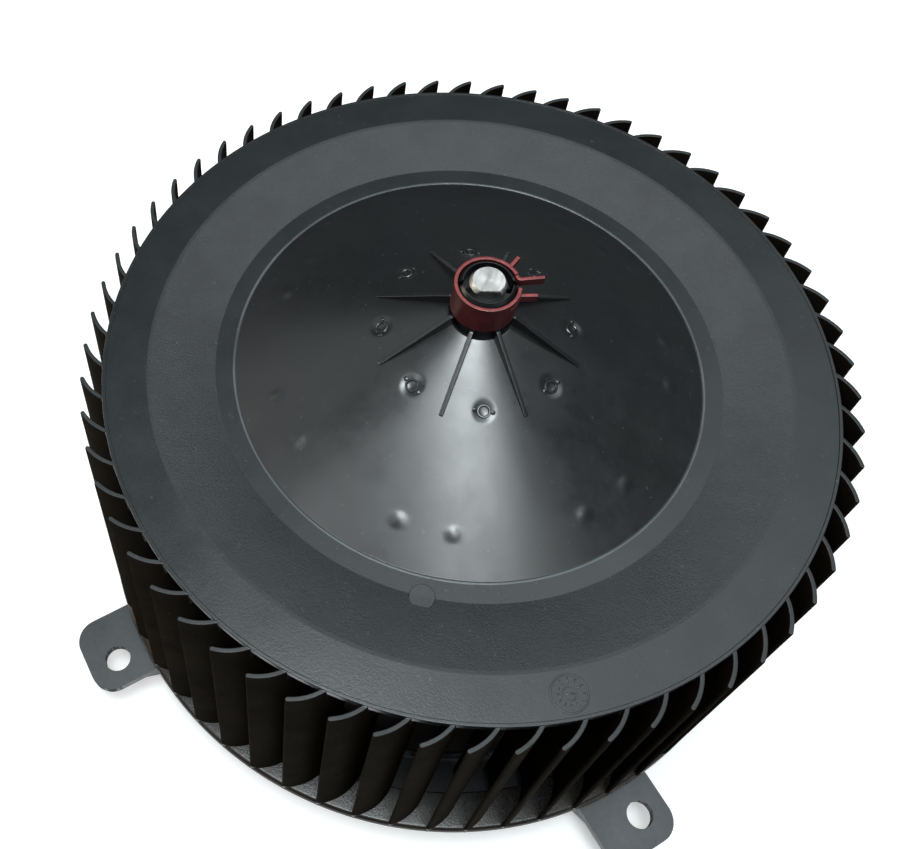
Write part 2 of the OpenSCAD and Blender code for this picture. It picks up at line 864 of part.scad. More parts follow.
module choke(side) {
    rod_r = 2.2;
    rings = 7;
    wire_r = 0.8;
    end_len = 1.5;
    choke_x = 9.5;
    choke_y = 17;
    color(copper)
        translate([side * choke_x, choke_y, tube_z]) {
            cylinder(r = rod_r, h = choke_len, $fn = small);
            translate([0, 0, end_len])
                cylinder(r = choke_r - wire_r, h = choke_len - 2 * end_len, $fn = small);
            for (i = [0:rings - 1])
                translate([0, 0, end_len + i * (choke_len - 2 * end_len) / (rings - 1)])
                    rotate_extrude($fn = small)
                        translate([choke_r - wire_r, 0]) circle(r = wire_r, $fn = small);
        }
}

module choke_left() { choke(-1); }
module choke_right() { choke(1); }

module capacitor() {
    cap_w = 7;
    cap_d = 4.5;
    cap_h = 9;
    cap_y = 20;
    color(resin_red)
        translate([-cap_w / 2, cap_y - cap_d / 2, tube_z]) cube([cap_w, cap_d, cap_h]);
}

module terminal(side) {
    tab_len = 4;
    color(brass)
        translate([side * terminal_pitch / 2 - terminal_t / 2, socket_y - terminal_w / 2, 0]) {
            translate([0, 0, terminal_low_z])
                cube([terminal_t, terminal_w, tube_z + terminal_t - terminal_low_z]);
            translate([side > 0 ? 0 : terminal_t - tab_len, 0, tube_z])
                cube([tab_len, terminal_w, terminal_t]);
        }
}

module terminal_left() { terminal(-1); }
module terminal_right() { terminal(1); }

module connector_housing() {
    roof_t = 2;
    catch_w = 6;
    catch_h = 2;
    catch_out = 1.2;
    color(frame_black)
        difference() {
            union() {
                translate([-connector_w / 2, socket_y - connector_d / 2, connector_low_z])
                    cube([connector_w, connector_d, shield_z - connector_low_z]);
                // Catch for the plug's latch
                translate([-catch_w / 2, socket_y - connector_d / 2 - catch_out, connector_low_z + 1.5])
                    cube([catch_w, catch_out + cut, catch_h]);
            }
            translate([-socket_w / 2, socket_y - socket_d / 2, connector_low_z - cut])
                cube([socket_w, socket_d, shield_z - roof_t - connector_low_z + cut]);
            terminal_slots(0, shield_z + cut);
        }
}

module motor_screws() {
    head_r = 1.9 * screw_r;
    head_h = 1.1 * screw_r;
    hex_depth = 0.6 * screw_r;
    color(steel)
        each_screw() {
            translate([0, 0, floor_z - head_h])
                difference() {
                    cylinder(r = head_r, h = head_h, $fn = small);
                    translate([0, 0, -cut]) cylinder(r = screw_r, h = cut + hex_depth, $fn = 6);
                }
            translate([0, 0, floor_z - cut])
                cylinder(r = screw_r, h = can_low_z - floor_z + cut, $fn = small);
        }
}

// Isolators and mounting frame

module connector_gap(z1, z2) {
    // Room round the connector, open towards the cradle's wall
    gap = 1.2;
    translate([-connector_w / 2 - gap, socket_y - connector_d / 2 - 3 * gap, z1])
        cube([connector_w + 2 * gap, connector_d + 4 * gap, z2 - z1]);
}

module lower_isolator() {
    wrap_h = 8;
    color(rubber_black)
        difference() {
            union() {
                ring(iso_out_r, seat_in_r + 1.5, isolator_z, shield_z);
                ring(iso_out_r, iso_in_r, isolator_z, shield_z + wrap_h);
            }
            connector_gap(isolator_z - cut, shield_z + seat);
            each_screw()
                translate([0, 0, isolator_z - cut])
                    cylinder(r = screw_r + screw_clear, h = can_low_z - isolator_z, $fn = small);
        }
}

module upper_isolator() {
    iso_h = 8;
    flange_t = 1.6;
    color(rubber_black) {
        ring(iso_out_r, iso_in_r, cradle_top_z - iso_h, cradle_top_z);
        ring(cradle_r + cradle_wall, iso_in_r, cradle_top_z, cradle_top_z + flange_t);
    }
}

module frame_ring() {
    rotate_extrude($fn = fine) {
        // Deck and skirt
        translate([inlet_r + lip_t / 2, frame_h - deck_t]) square([skirt_r - inlet_r - lip_t / 2, deck_t]);
        translate([skirt_r - skirt_wall, 0]) square([skirt_wall, frame_h]);
        // Inlet lip with its rounded top
        translate([inlet_r, bell_z]) square([lip_t, frame_h + lip_h - lip_t / 2 - bell_z]);
        translate([inlet_r + lip_t / 2, frame_h + lip_h - lip_t / 2]) circle(r = lip_t / 2, $fn = small);
        // Bell mouth under the deck
        translate([inlet_r + lip_t + bell_r, bell_z])
            intersection() {
                difference() {
                    circle(r = lip_t + bell_r, $fn = plain);
                    circle(r = bell_r, $fn = plain);
                }
                translate([-2 * bell_r - lip_t, -2 * bell_r - lip_t]) square(2 * bell_r + lip_t);
            }
    }
}

module deck_ribs() {
    deck_rib_t = 1.5;
    start = inlet_r + lip_t + bell_r - 0.5;
    end = skirt_r - skirt_wall / 2;
    rib_low_z = bell_z - bell_r - lip_t / 2;
    for (i = [0:deck_rib_count - 1])
        rotate([0, 0, (i + 0.5) * 360 / deck_rib_count])
            translate([start, -deck_rib_t / 2, rib_low_z])
                cube([end - start, deck_rib_t, frame_h - deck_t / 2 - rib_low_z]);
}

module spoke() {
    start = cradle_r + cradle_wall / 2;
    end = inlet_r + lip_t / 2;
    web_low_z = 2;
    gusset_h = 16;
    translate([start, -spoke_w / 2, frame_h - deck_t]) cube([end - start, spoke_w, deck_t]);
    translate([start, -spoke_web_t / 2, web_low_z])
        cube([end - start, spoke_web_t, frame_h - deck_t / 2 - web_low_z]);
    translate([0, spoke_web_t / 2, 0])
        rotate([90, 0, 0])
            linear_extrude(spoke_web_t)
                polygon([[start, frame_h - 1], [start + gusset_h, frame_h - 1], [start, frame_h + gusset_h]]);
}

module cradle() {
    slot_w = 7;
    slot_h = 12;
    difference() {
        union() {
            ring(cradle_r + cradle_wall, cradle_r, floor_z, cradle_top_z);
            ring(cradle_r + cradle_wall / 2, seat_in_r, floor_z, isolator_z);
        }
        connector_gap(floor_z - cut, isolator_z + cut);
        each_screw()
            translate([0, 0, floor_z - cut])
                cylinder(r = screw_r + screw_clear, h = isolator_z - floor_z + 2 * cut, $fn = small);
        for (turn = [22.5:45:337.5])
            rotate([0, 0, turn])
                translate([cradle_r - cut, -slot_w / 2, cradle_top_z - slot_h - 5])
                    cube([cradle_wall + 2 * cut, slot_w, slot_h]);
    }
}

module ear() {
    start = skirt_r - skirt_wall / 2;
    gusset_t = 1.8;
    gusset_y = ear_w / 2 - gusset_t - 1;
    gusset_low_z = 3;
    gusset_top_z = frame_h - ear_t / 2;
    translate([0, ear_shift, 0]) {
        translate([0, 0, frame_h - ear_t])
            linear_extrude(ear_t) {
                translate([start, -ear_w / 2])
                    square([ear_end_r - ear_corner_r - start, ear_w]);
                translate([start, -ear_w / 2 + ear_corner_r])
                    square([ear_end_r - start, ear_w - 2 * ear_corner_r]);
                for (side = [-1, 1])
                    translate([ear_end_r - ear_corner_r, side * (ear_w / 2 - ear_corner_r)])
                        circle(r = ear_corner_r, $fn = plain);
            }
        for (y = [-gusset_y - gusset_t, gusset_y])
            translate([0, y + gusset_t, 0])
                rotate([90, 0, 0])
                    linear_extrude(gusset_t)
                        polygon([
                            [start, gusset_top_z],
                            [start, gusset_low_z],
                            [skirt_r + 1, gusset_low_z],
                            [ear_hole_place_r, gusset_top_z]
                        ]);
    }
}

module mounting_frame() {
    color(frame_black)
        difference() {
            union() {
                frame_ring();
                deck_ribs();
                cradle();
                for (turn = quarter_turns)
                    rotate([0, 0, turn]) {
                        spoke();
                        ear();
                    }
            }
            for (turn = quarter_turns)
                rotate([0, 0, turn])
                    translate([ear_hole_place_r, 0, frame_h - ear_t - cut])
                        cylinder(r = ear_hole_r, h = ear_t + 2 * cut, $fn = plain);
        }
}

fan_wheel();
hub_clip();
motor_shaft();
armature_core();
end_insulators();
armature_winding();
commutator_bars();
commutator_core();
thrust_washers();
motor_can();
magnet_left();
magnet_right();
magnet_springs();
upper_bearing();
upper_bearing_retainer();
end_shield();
lower_bearing();
lower_bearing_retainer();
brush_card();
brush_tube_left();
brush_tube_right();
brush_left();
brush_right();
brush_spring_left();
brush_spring_right();
choke_left();
choke_right();
capacitor();
terminal_left();
terminal_right();
connector_housing();
upper_isolator();
lower_isolator();
mounting_frame();
motor_screws();
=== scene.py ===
"""Dresses the blower motor: a moulded fan wheel with its clip and shaft over a ring frame and motor."""
import math

import bmesh
import bpy
from bpy.props import FloatProperty, FloatVectorProperty, IntProperty, PointerProperty
from mathutils import Matrix, Vector


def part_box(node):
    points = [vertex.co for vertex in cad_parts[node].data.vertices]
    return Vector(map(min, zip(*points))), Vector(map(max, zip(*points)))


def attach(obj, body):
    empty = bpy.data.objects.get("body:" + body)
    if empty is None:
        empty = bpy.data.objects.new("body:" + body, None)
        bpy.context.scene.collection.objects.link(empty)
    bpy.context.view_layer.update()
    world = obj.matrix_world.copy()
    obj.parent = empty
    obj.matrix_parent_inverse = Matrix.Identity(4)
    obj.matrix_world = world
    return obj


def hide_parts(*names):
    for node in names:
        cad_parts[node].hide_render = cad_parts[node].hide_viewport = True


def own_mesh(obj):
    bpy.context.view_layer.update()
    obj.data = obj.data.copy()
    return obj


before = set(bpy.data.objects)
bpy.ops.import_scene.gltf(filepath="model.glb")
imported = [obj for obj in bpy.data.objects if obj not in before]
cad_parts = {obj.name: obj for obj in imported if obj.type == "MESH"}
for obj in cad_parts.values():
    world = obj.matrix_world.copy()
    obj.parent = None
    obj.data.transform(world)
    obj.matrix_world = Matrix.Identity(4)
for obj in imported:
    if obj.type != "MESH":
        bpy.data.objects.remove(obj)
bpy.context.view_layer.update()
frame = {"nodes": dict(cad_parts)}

bl_info = {
    "name": "Blower Motor",
    "version": (1, 0, 0),
    "blender": (4, 5, 0),
    "location": "View3D > Sidebar > Blower",
    "description": "Builds the fan wheel, its clip and the finishes of a blower motor",
    "category": "Object",
}

WHEEL_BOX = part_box("fan_wheel")
SHAFT_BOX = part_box("motor_shaft")
CLIP_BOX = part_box("hub_clip")
MM = 0.001
FULL_TURN = 2 * math.pi
WHEEL_SEGMENTS = 384
# The camera's right and up, found from the wheel's round edges
CAMERA_RIGHT = Vector((0.96057, 0.27751, 0.01692))
CAMERA_UP = Vector((-0.25134, 0.84075, 0.47955))
DAYLIGHT = (0.92, 0.98, 1.0)
COOL = (0.90, 0.98, 1.0)
# Name, place, height of the point above the base that the lamp faces, size, power and tint
LAMPS = (
    ("Overhead", (-0.03, -0.1, 1.15), 0.09, (0.42, 0.32), 7.4, COOL),
    ("Front lamp", (0.27, -0.38, 1.15), 0.09, (0.4, 0.3), 3.0, COOL),
    ("Left lamp", (-0.7, -0.6, 1.15), 0.09, (0.35, 0.35), 1.8, DAYLIGHT),
    ("Far left lamp", (-0.95, 0.25, 1.0), 0.09, (0.8, 0.6), 0.8, DAYLIGHT),
    ("Back lamp", (0.2, 0.42, 1.15), 0.09, (0.9, 0.36), 2.4, DAYLIGHT),
    ("Far right lamp", (0.6, 0.76, 1.15), 0.09, (0.6, 0.36), 0.9, DAYLIGHT),
    ("Left fill", (-1.2, -0.15, 0.4), 0.05, (0.5, 0.4), 3.6, (1.0, 0.86, 0.72)),
    ("Right fill", (1.2, -0.6, 0.5), 0.05, (0.7, 0.5), 1.0, (0.88, 0.95, 1.0)),
)


def in_mm(*points):
    """Points given in millimetres, in metres."""
    return [(x * MM, y * MM) for x, y in points]


# Small marks on the wheel: distance from the mark's axis and height above the face
LUG_SECTION = in_mm((0.01, -0.3), (0.6, -0.3), (0.52, 0.36), (0.01, 0.5))
GATE_SECTION = in_mm((0.01, -0.4), (2.75, -0.4), (2.75, 0.45), (0.01, 0.42))
DIAL_SECTION = in_mm((3.55, -0.3), (3.95, -0.3), (3.95, 0.12), (3.55, 0.12))
HUB_SECTION = in_mm((1.2, -0.3), (1.5, -0.3), (1.5, 0.12), (1.2, 0.12))
TICK_OUTLINE = in_mm((2.0, -0.3), (2.0, 0.12), (3.2, 0.12), (3.2, -0.3))
POINTER_OUTLINE = in_mm((-0.9, -0.3), (-0.9, 0.12), (0.9, 0.12), (0.9, -0.3))


def length(name, description, default):
    """A size in metres that the sidebar shows."""
    return FloatProperty(
        name=name, description=description, default=default, min=0, unit="LENGTH", precision=5
    )


def angle(name, description, degrees):
    """An angle that the sidebar shows."""
    return FloatProperty(name=name, description=description, default=math.radians(degrees), unit="ROTATION")


def plan_place(name, description, default):
    """A plan point in metres that the sidebar shows."""
    return FloatVectorProperty(
        name=name, description=description, default=default, size=2, unit="LENGTH", precision=5
    )


def colour(name, description, default):
    """A linear colour that the sidebar shows."""
    return FloatVectorProperty(
        name=name, description=description, default=default, subtype="COLOR", min=0, max=1
    )


class WheelSizes(bpy.types.PropertyGroup):
    """Sizes of the moulded fan wheel."""

    height: length("Height", "From the lower edge to the disc's edge", 0.0778)
    disc_radius: length("Disc radius", "Radius of the closed disc's edge", 0.085)
    disc_wall: length("Disc wall", "Thickness of the disc and its cone", 0.0022)
    bead_width: length("Bead width", "Width of the bead round the disc's edge", 0.0008)
    bead_height: length("Bead height", "Height of the bead round the disc's edge", 0.00025)
    land_bead: length("Land bead", "Height of the fine bead along the land's inner edge", 0.00006)
    step_radius: length("Step radius", "Where the dished ring starts", 0.0746)
    step_height: length("Step height", "Height of the step at the dished ring", 0.00012)
    land_radius: length("Land radius", "Outer radius of the flat land round the cone", 0.0594)
    land_drop: length("Land drop", "Depth of the land below the disc's edge", 0.0032)
    foot_radius: length("Foot radius", "Radius of the cone's foot", 0.055)
    foot_drop: length("Foot drop", "Depth of the cone's foot below the disc's edge", 0.0034)
    neck_radius: length("Neck radius", "Radius of the neck at the cone's top", 0.0073)
    cone_height: length("Cone height", "Height of the cone's top above the disc's edge", 0.0164)
    blade_count: IntProperty(name="Blades", description="Number of blades", default=62, min=3)
    blade_turn: angle("Blade turn", "Turn of the first blade about the shaft", 108)
    blade_thickness: length("Blade thickness", "Thickness of a blade", 0.001)
    blade_arc: length("Blade arc", "Radius of the arc that a blade follows", 0.0125)
    tip_angle: angle("Tip angle", "Angle between a blade and the radius at its tip", 66)
    root_angle: angle("Root angle", "Angle between a blade and the radius at its root", -16)
    tip_top_radius: length("Tip radius, top", "Radius of the blade tips at the disc", 0.0895)
    tip_low_radius: length("Tip radius, low", "Radius of the blade tips at the lower ring", 0.095)
    blade_drop: length("Blade drop", "Depth of the blade tops below the disc's edge", 0.0003)
    ring_inner: length("Ring inner radius", "Inner radius of the lower ring", 0.086)
    ring_thickness: length("Ring thickness", "Thickness of the lower ring", 0.0028)
    rib_count: IntProperty(name="Ribs", description="Number of gusset ribs round the hub", default=8, min=2)
    rib_turn: angle("Rib turn", "Turn of the first rib about the shaft", -6.4)
    rib_radius: length("Rib radius", "Radius where a rib runs out into the cone", 0.024)
    rib_top: length("Rib top", "Height of a rib's inner end above the disc's edge", 0.019)
    rib_thickness: length("Rib thickness", "Thickness of a gusset rib", 0.001)
    inner_rib_thickness: length("Inner rib thickness", "Thickness of a rib inside the cone", 0.0016)
    mark_place: length("Pin mark place", "Distance of the pin marks from the shaft", 0.0213)
    mark_hollow: length("Pin mark hollow", "Radius of the hollow round a pin mark", 0.0029)
    mark_depth: length("Pin mark depth", "Depth of the hollow round a pin mark", 0.0005)
    bump_place: length("Bump place", "Distance of the low bumps on the cone from the shaft", 0.046)
    bump_pairs: IntProperty(name="Bump pairs", description="Number of bump pairs", default=7, min=1)
    bump_turn: angle("Bump turn", "Turn of the first bump pair", -38.3)
    bump_spread: angle("Bump spread", "Half the angle between the bumps of a pair", 7.5)
    bump_radius: length("Bump radius", "Radius of a bump", 0.0021)
    bump_height: length("Bump height", "Height of a bump", 0.00025)
    dial_place: length("Dial place", "Distance of the dial mark from the shaft", 0.0797)
    dial_turn: angle("Dial turn", "Turn of the dial mark about the shaft", -63.7)
    dial_spin: angle("Dial spin", "Turn of the dial mark's pointer", 20)
    gate_place: length("Gate place", "Distance of the gate mark from the shaft", 0.0596)
    gate_turn: angle("Gate turn", "Turn of the gate mark about the shaft", -87)
    collet_radius: length("Collet radius", "Outer radius of the split collet", 0.0063)
    collet_lead: length("Collet lead-in", "Chamfer round the collet's end", 0.001)
    recess_depth: length("Recess depth", "Depth of the recess in the collet's end", 0.003)
    bore_radius: length("Bore radius", "Radius of the bore for the shaft", 0.00402)
    bore_flat: length("Bore flat", "Depth of the flat in the bore", 0.00098)
    collet_wall_radius: length("Collet recess radius", "Radius of the recess in the collet's end", 0.0052)
    collet_slot: length("Collet slot", "Width of the collet's slots", 0.0012)
    sleeve_radius: length("Sleeve radius", "Radius of the sleeve inside the cone", 0.009)
    sleeve_drop: length("Sleeve drop", "Depth of the sleeve's end below the disc's edge", 0.001)
    flat_turn: angle("Flat turn", "Direction that the shaft's flat faces", -73.9)


class ClipSizes(bpy.types.PropertyGroup):
    """Sizes of the band clip round the collet."""

    thickness: length("Thickness", "Thickness of the band", 0.0008)
    clearance: length("Clearance", "Gap between the collet and the band", 0.00005)
    edge: length("Edge", "Softening of the band's edges", 0.00016)
    gap_start: angle("Gap start", "Where the band's free end lies", 9)
    gap_end: angle("Gap end", "Where the band turns out into the long tang", 29.4)
    tang_height: length("Tang height", "Height of a grip tang", 0.002)
    tang_top: length("Tang top", "Depth of the tangs' upper edge below the band's", 0.0003)
    tang_drop: length("Tang drop", "How much lower the tang at the free end sits", 0.0014)
    middle_turn: angle("Middle turn", "Turn of the tang in the middle", 59)
    long_tip: plan_place("Long tip", "Tip of the long tang", (0.0112, 0.00545))
    middle_tip: plan_place("Middle tip", "Tip of the tang in the middle", (0.00485, 0.00915))
    free_tip: plan_place("Free tip", "Tip of the tang at the free end", (0.01075, 0.0015))


class ShaftSizes(bpy.types.PropertyGroup):
    """Sizes of the motor shaft."""

    flat_depth: length("Flat depth", "Depth of the flat", 0.001)
    flat_length: length("Flat length", "Length of the flat from the shaft's end", 0.031)
    chamfer: length("Chamfer", "Chamfer at the shaft's ends", 0.0006)


class Colours(bpy.types.PropertyGroup):
    """Colours of the finishes."""

    wheel: colour("Wheel", "Charcoal plastic of the wheel's flat rings", (0.0158, 0.0190, 0.0206))
    # The bead colour is a painted highlight along the land's inner edge.
    bead_highlight: colour("Wheel bead", "Worn bead along the land's inner edge", (0.125, 0.145, 0.15))
    dust: colour("Dust", "Specks of dust on the wheel", (0.16, 0.17, 0.17))
    cone: colour("Cone", "Smoother, darker plastic of the cone", (0.0045, 0.0056, 0.0065))
    # The blades' warm brown over dark plastic is a painted reflection of warm surroundings.
    blade: colour("Blade", "Plastic of the blades", (0.0175, 0.0137, 0.0095))
    frame: colour("Frame", "Dark grey plastic of the mounting frame", (0.054, 0.06, 0.065))
    shield: colour("Shield", "Black plastic of the end shield and the connector", (0.02, 0.021, 0.022))
    clip: colour("Clip", "Dark red coat of the hub clip", (0.085, 0.013, 0.014))
    # The paler red of the clip's upper faces is a painted highlight.
    clip_top_highlight: colour("Clip edge", "Worn upper edge of the hub clip", (0.29, 0.052, 0.052))
    phenolic: colour("Phenolic", "Brown moulded resin", (0.16, 0.075, 0.03))
    ferrite: colour("Ferrite", "Ground ferrite", (0.035, 0.032, 0.032))
    carbon: colour("Carbon", "Pressed carbon", (0.018, 0.018, 0.018))
    bronze: colour("Bronze", "Sintered bronze", (0.42, 0.29, 0.15))
    insulator: colour("Insulator", "Green moulded insulator", (0.04, 0.13, 0.1))
    resin: colour("Resin", "Dipped resin of the capacitor", (0.33, 0.06, 0.02))
    steel: colour("Steel", "Bright turned steel", (0.72, 0.72, 0.70))
    zinc: colour("Zinc", "Zinc-plated steel", (0.52, 0.53, 0.54))
    copper: colour("Copper", "Enamelled copper wire", (0.62, 0.24, 0.11))
    brass: colour("Brass", "Brass strip", (0.70, 0.50, 0.20))
    rubber: colour("Rubber", "Black rubber", (0.018, 0.018, 0.019))
    floor: colour("Floor", "Pale studio floor as the camera sees it", (0.9, 0.9, 0.9))
    # Under the part the camera sees this dim colour too, as a painted shadow.
    floor_bounce_and_shadow: colour("Floor bounce", "The floor as it lights the object", (0.22, 0.2, 0.18))


class Studio(bpy.types.PropertyGroup):
    """Camera and light."""

    camera_place: FloatVectorProperty(
        name="Camera place",
        description="Where the camera stands",
        default=(0.0, -0.1292, 0.2869),
        unit="LENGTH",
    )
    lens: FloatProperty(name="Lens", description="Focal length for a 36 mm sensor", default=39.03, min=1)
    shift: FloatProperty(name="Shift", description="Sideways shift of the picture", default=0.1354)
    floor_radius: length("Floor radius", "Radius of the pale floor", 0.8)
    floor_glow: FloatProperty(
        name="Floor glow", description="How much the pale floor glows where it is seen", default=0.36, min=0
    )
    sky: FloatProperty(name="Sky", description="Strength of the light from all round", default=0.1, min=0)
    # Inside this radius the floor shows a painted shadow.
    shade_radius: length("Shade radius", "Radius of the dark floor under the part", 0.093)


# Mesh helpers


def rounded(points, radii, steps=5):
    """A closed outline through the points, with each corner turned by an arc of its radius."""
    outline = []
    for i, corner in enumerate(points):
        corner = Vector(corner)
        before = (Vector(points[i - 1]) - corner).normalized()
        after = (Vector(points[(i + 1) % len(points)]) - corner).normalized()
        half = before.angle(after) / 2
        radius = radii[i]
        if radius == 0 or half > math.radians(89.5):
            outline.append(corner)
            continue
        centre = corner + (before + after).normalized() * radius / math.sin(half)
        first = corner + before * radius / math.tan(half) - centre
        last = corner + after * radius / math.tan(half) - centre
        turn = math.atan2(first.x * last.y - first.y * last.x, first.dot(last))
        for k in range(steps + 1):
            spin = Matrix.Rotation(turn * k / steps, 2)
            outline.append(centre + spin @ first)
    return outline


def divided(outline, low, high, step):
    """The outline with more points where its radius lies between low and high."""
    dense = []
    for i, a in enumerate(outline):
        b = outline[(i + 1) % len(outline)]
        parts = 1
        if low <= (a.x + b.x) / 2 <= high:
            parts = max(1, math.ceil((b - a).length / step))
        dense.extend(a.lerp(b, k / parts) for k in range(parts))
    return dense


def lathe(bm, outline, segments, matrix=Matrix.Identity(4)):
    """Spins a closed outline of radius and height round Z and returns its vertices."""
    rings = []
    for i in range(segments):
        a = FULL_TURN * i / segments
        spun = [Vector((p[0] * math.cos(a), p[0] * math.sin(a), p[1])) for p in outline]
        rings.append([bm.verts.new(matrix @ place) for place in spun])
    count = len(outline)
    for ring, following in zip(rings, rings[1:] + rings[:1]):
        for j in range(count):
            k = (j + 1) % count
            bm.faces.new((ring[j], following[j], following[k], ring[k]))
    return [v for ring in rings for v in ring]


def loft(bm, loops):
    """Joins closed loops of equal length by faces and caps both ends."""
    rows = [[bm.verts.new(p) for p in loop] for loop in loops]
    count = len(rows[0])
    for row, following in zip(rows, rows[1:]):
        for j in range(count):
            k = (j + 1) % count
            bm.faces.new((row[j], row[k], following[k], following[j]))
    bm.faces.new(rows[0][::-1])
    bm.faces.new(rows[-1])


def plate(outline, thickness, matrix, bevel):
    """A flat plate, its outline in X and Z and its thickness along Y, with softened edges, as a new bmesh."""
    bm = bmesh.new()
    sides = [[Vector((p[0], y, p[1])) for p in outline] for y in (-thickness / 2, thickness / 2)]
    loft(bm, sides)
    bmesh.ops.recalc_face_normals(bm, faces=bm.faces)
    bmesh.ops.bevel(
        bm, geom=bm.edges[:], offset=bevel, offset_type="OFFSET", segments=2, profile=0.5, affect="EDGES"
    )
    bm.transform(matrix)
    return bm


def strip(bm, path, thickness, low, high, edge):
    """A band of sheet metal that stands on edge along a path, with softened edges."""
    half = thickness / 2
    half_height = (high - low) / 2
    middle = (low + high) / 2
    section = rounded([(-half, low), (half, low), (half, high), (-half, high)], [edge] * 4, 2)
    last = len(path) - 1
    rows = []
    for i, point in enumerate(path):
        ahead = path[min(i + 1, last)] - path[max(i - 1, 0)]
        ahead.normalize()
        side = Vector((ahead.y, -ahead.x))
        # Each ring is the section made smaller by an inset and moved along the path by a pull
        rings = [(0, 0)]
        if i == 0:
            rings = [(edge, 0), (0, edge)]
        elif i == last:
            rings = [(0, -edge), (edge, 0)]
        for inset, pull in rings:
            place = point + ahead * pull
            loop = []
            for corner in section:
                flat = place + side * corner.x * (1 - inset / half)
                up = middle + (corner.y - middle) * (1 - inset / half_height)
                loop.append(Vector((flat.x, flat.y, up)))
            rows.append(loop)
    loft(bm, rows)


def add_bmesh(bm, other):
    """Adds another bmesh's geometry and frees it."""
    mesh = bpy.data.meshes.new("part")
    other.to_mesh(mesh)
    other.free()
    bm.from_mesh(mesh)
    bpy.data.meshes.remove(mesh)


def new_object(name, bm, materials, sharp=35):
    """Turns a bmesh into a smooth-shaded object whose edges over the sharp angle stay crisp."""
    bmesh.ops.remove_doubles(bm, verts=bm.verts, dist=1e-7)
    bmesh.ops.recalc_face_normals(bm, faces=bm.faces)
    mesh = bpy.data.meshes.new(name)
    bm.to_mesh(mesh)
    bm.free()
    mesh.shade_smooth()
    mesh.set_sharp_from_angle(angle=math.radians(sharp))
    for material in materials:
        mesh.materials.append(material)
    obj = bpy.data.objects.new(name, mesh)
    bpy.context.scene.collection.objects.link(obj)
    weighted = obj.modifiers.new("Even shading", "WEIGHTED_NORMAL")
    weighted.keep_sharp = True
    return obj


def cut_away(obj, cutters):
    """Cuts closed meshes out of an object and removes them."""
    for i, cutter in enumerate(cutters):
        tool = obj.modifiers.new(f"Cut {i}", "BOOLEAN")
        tool.operation = "DIFFERENCE"
        tool.solver = "EXACT"
        tool.object = cutter
    depsgraph = bpy.context.evaluated_depsgraph_get()
    result = bpy.data.meshes.new_from_object(obj.evaluated_get(depsgraph))
    bm = bmesh.new()
    bm.from_mesh(result)
    bpy.data.meshes.remove(result)
    for piece in [obj, *cutters]:
        mesh = piece.data
        bpy.data.objects.remove(piece)
        bpy.data.meshes.remove(mesh)
    return bm


# Finishes


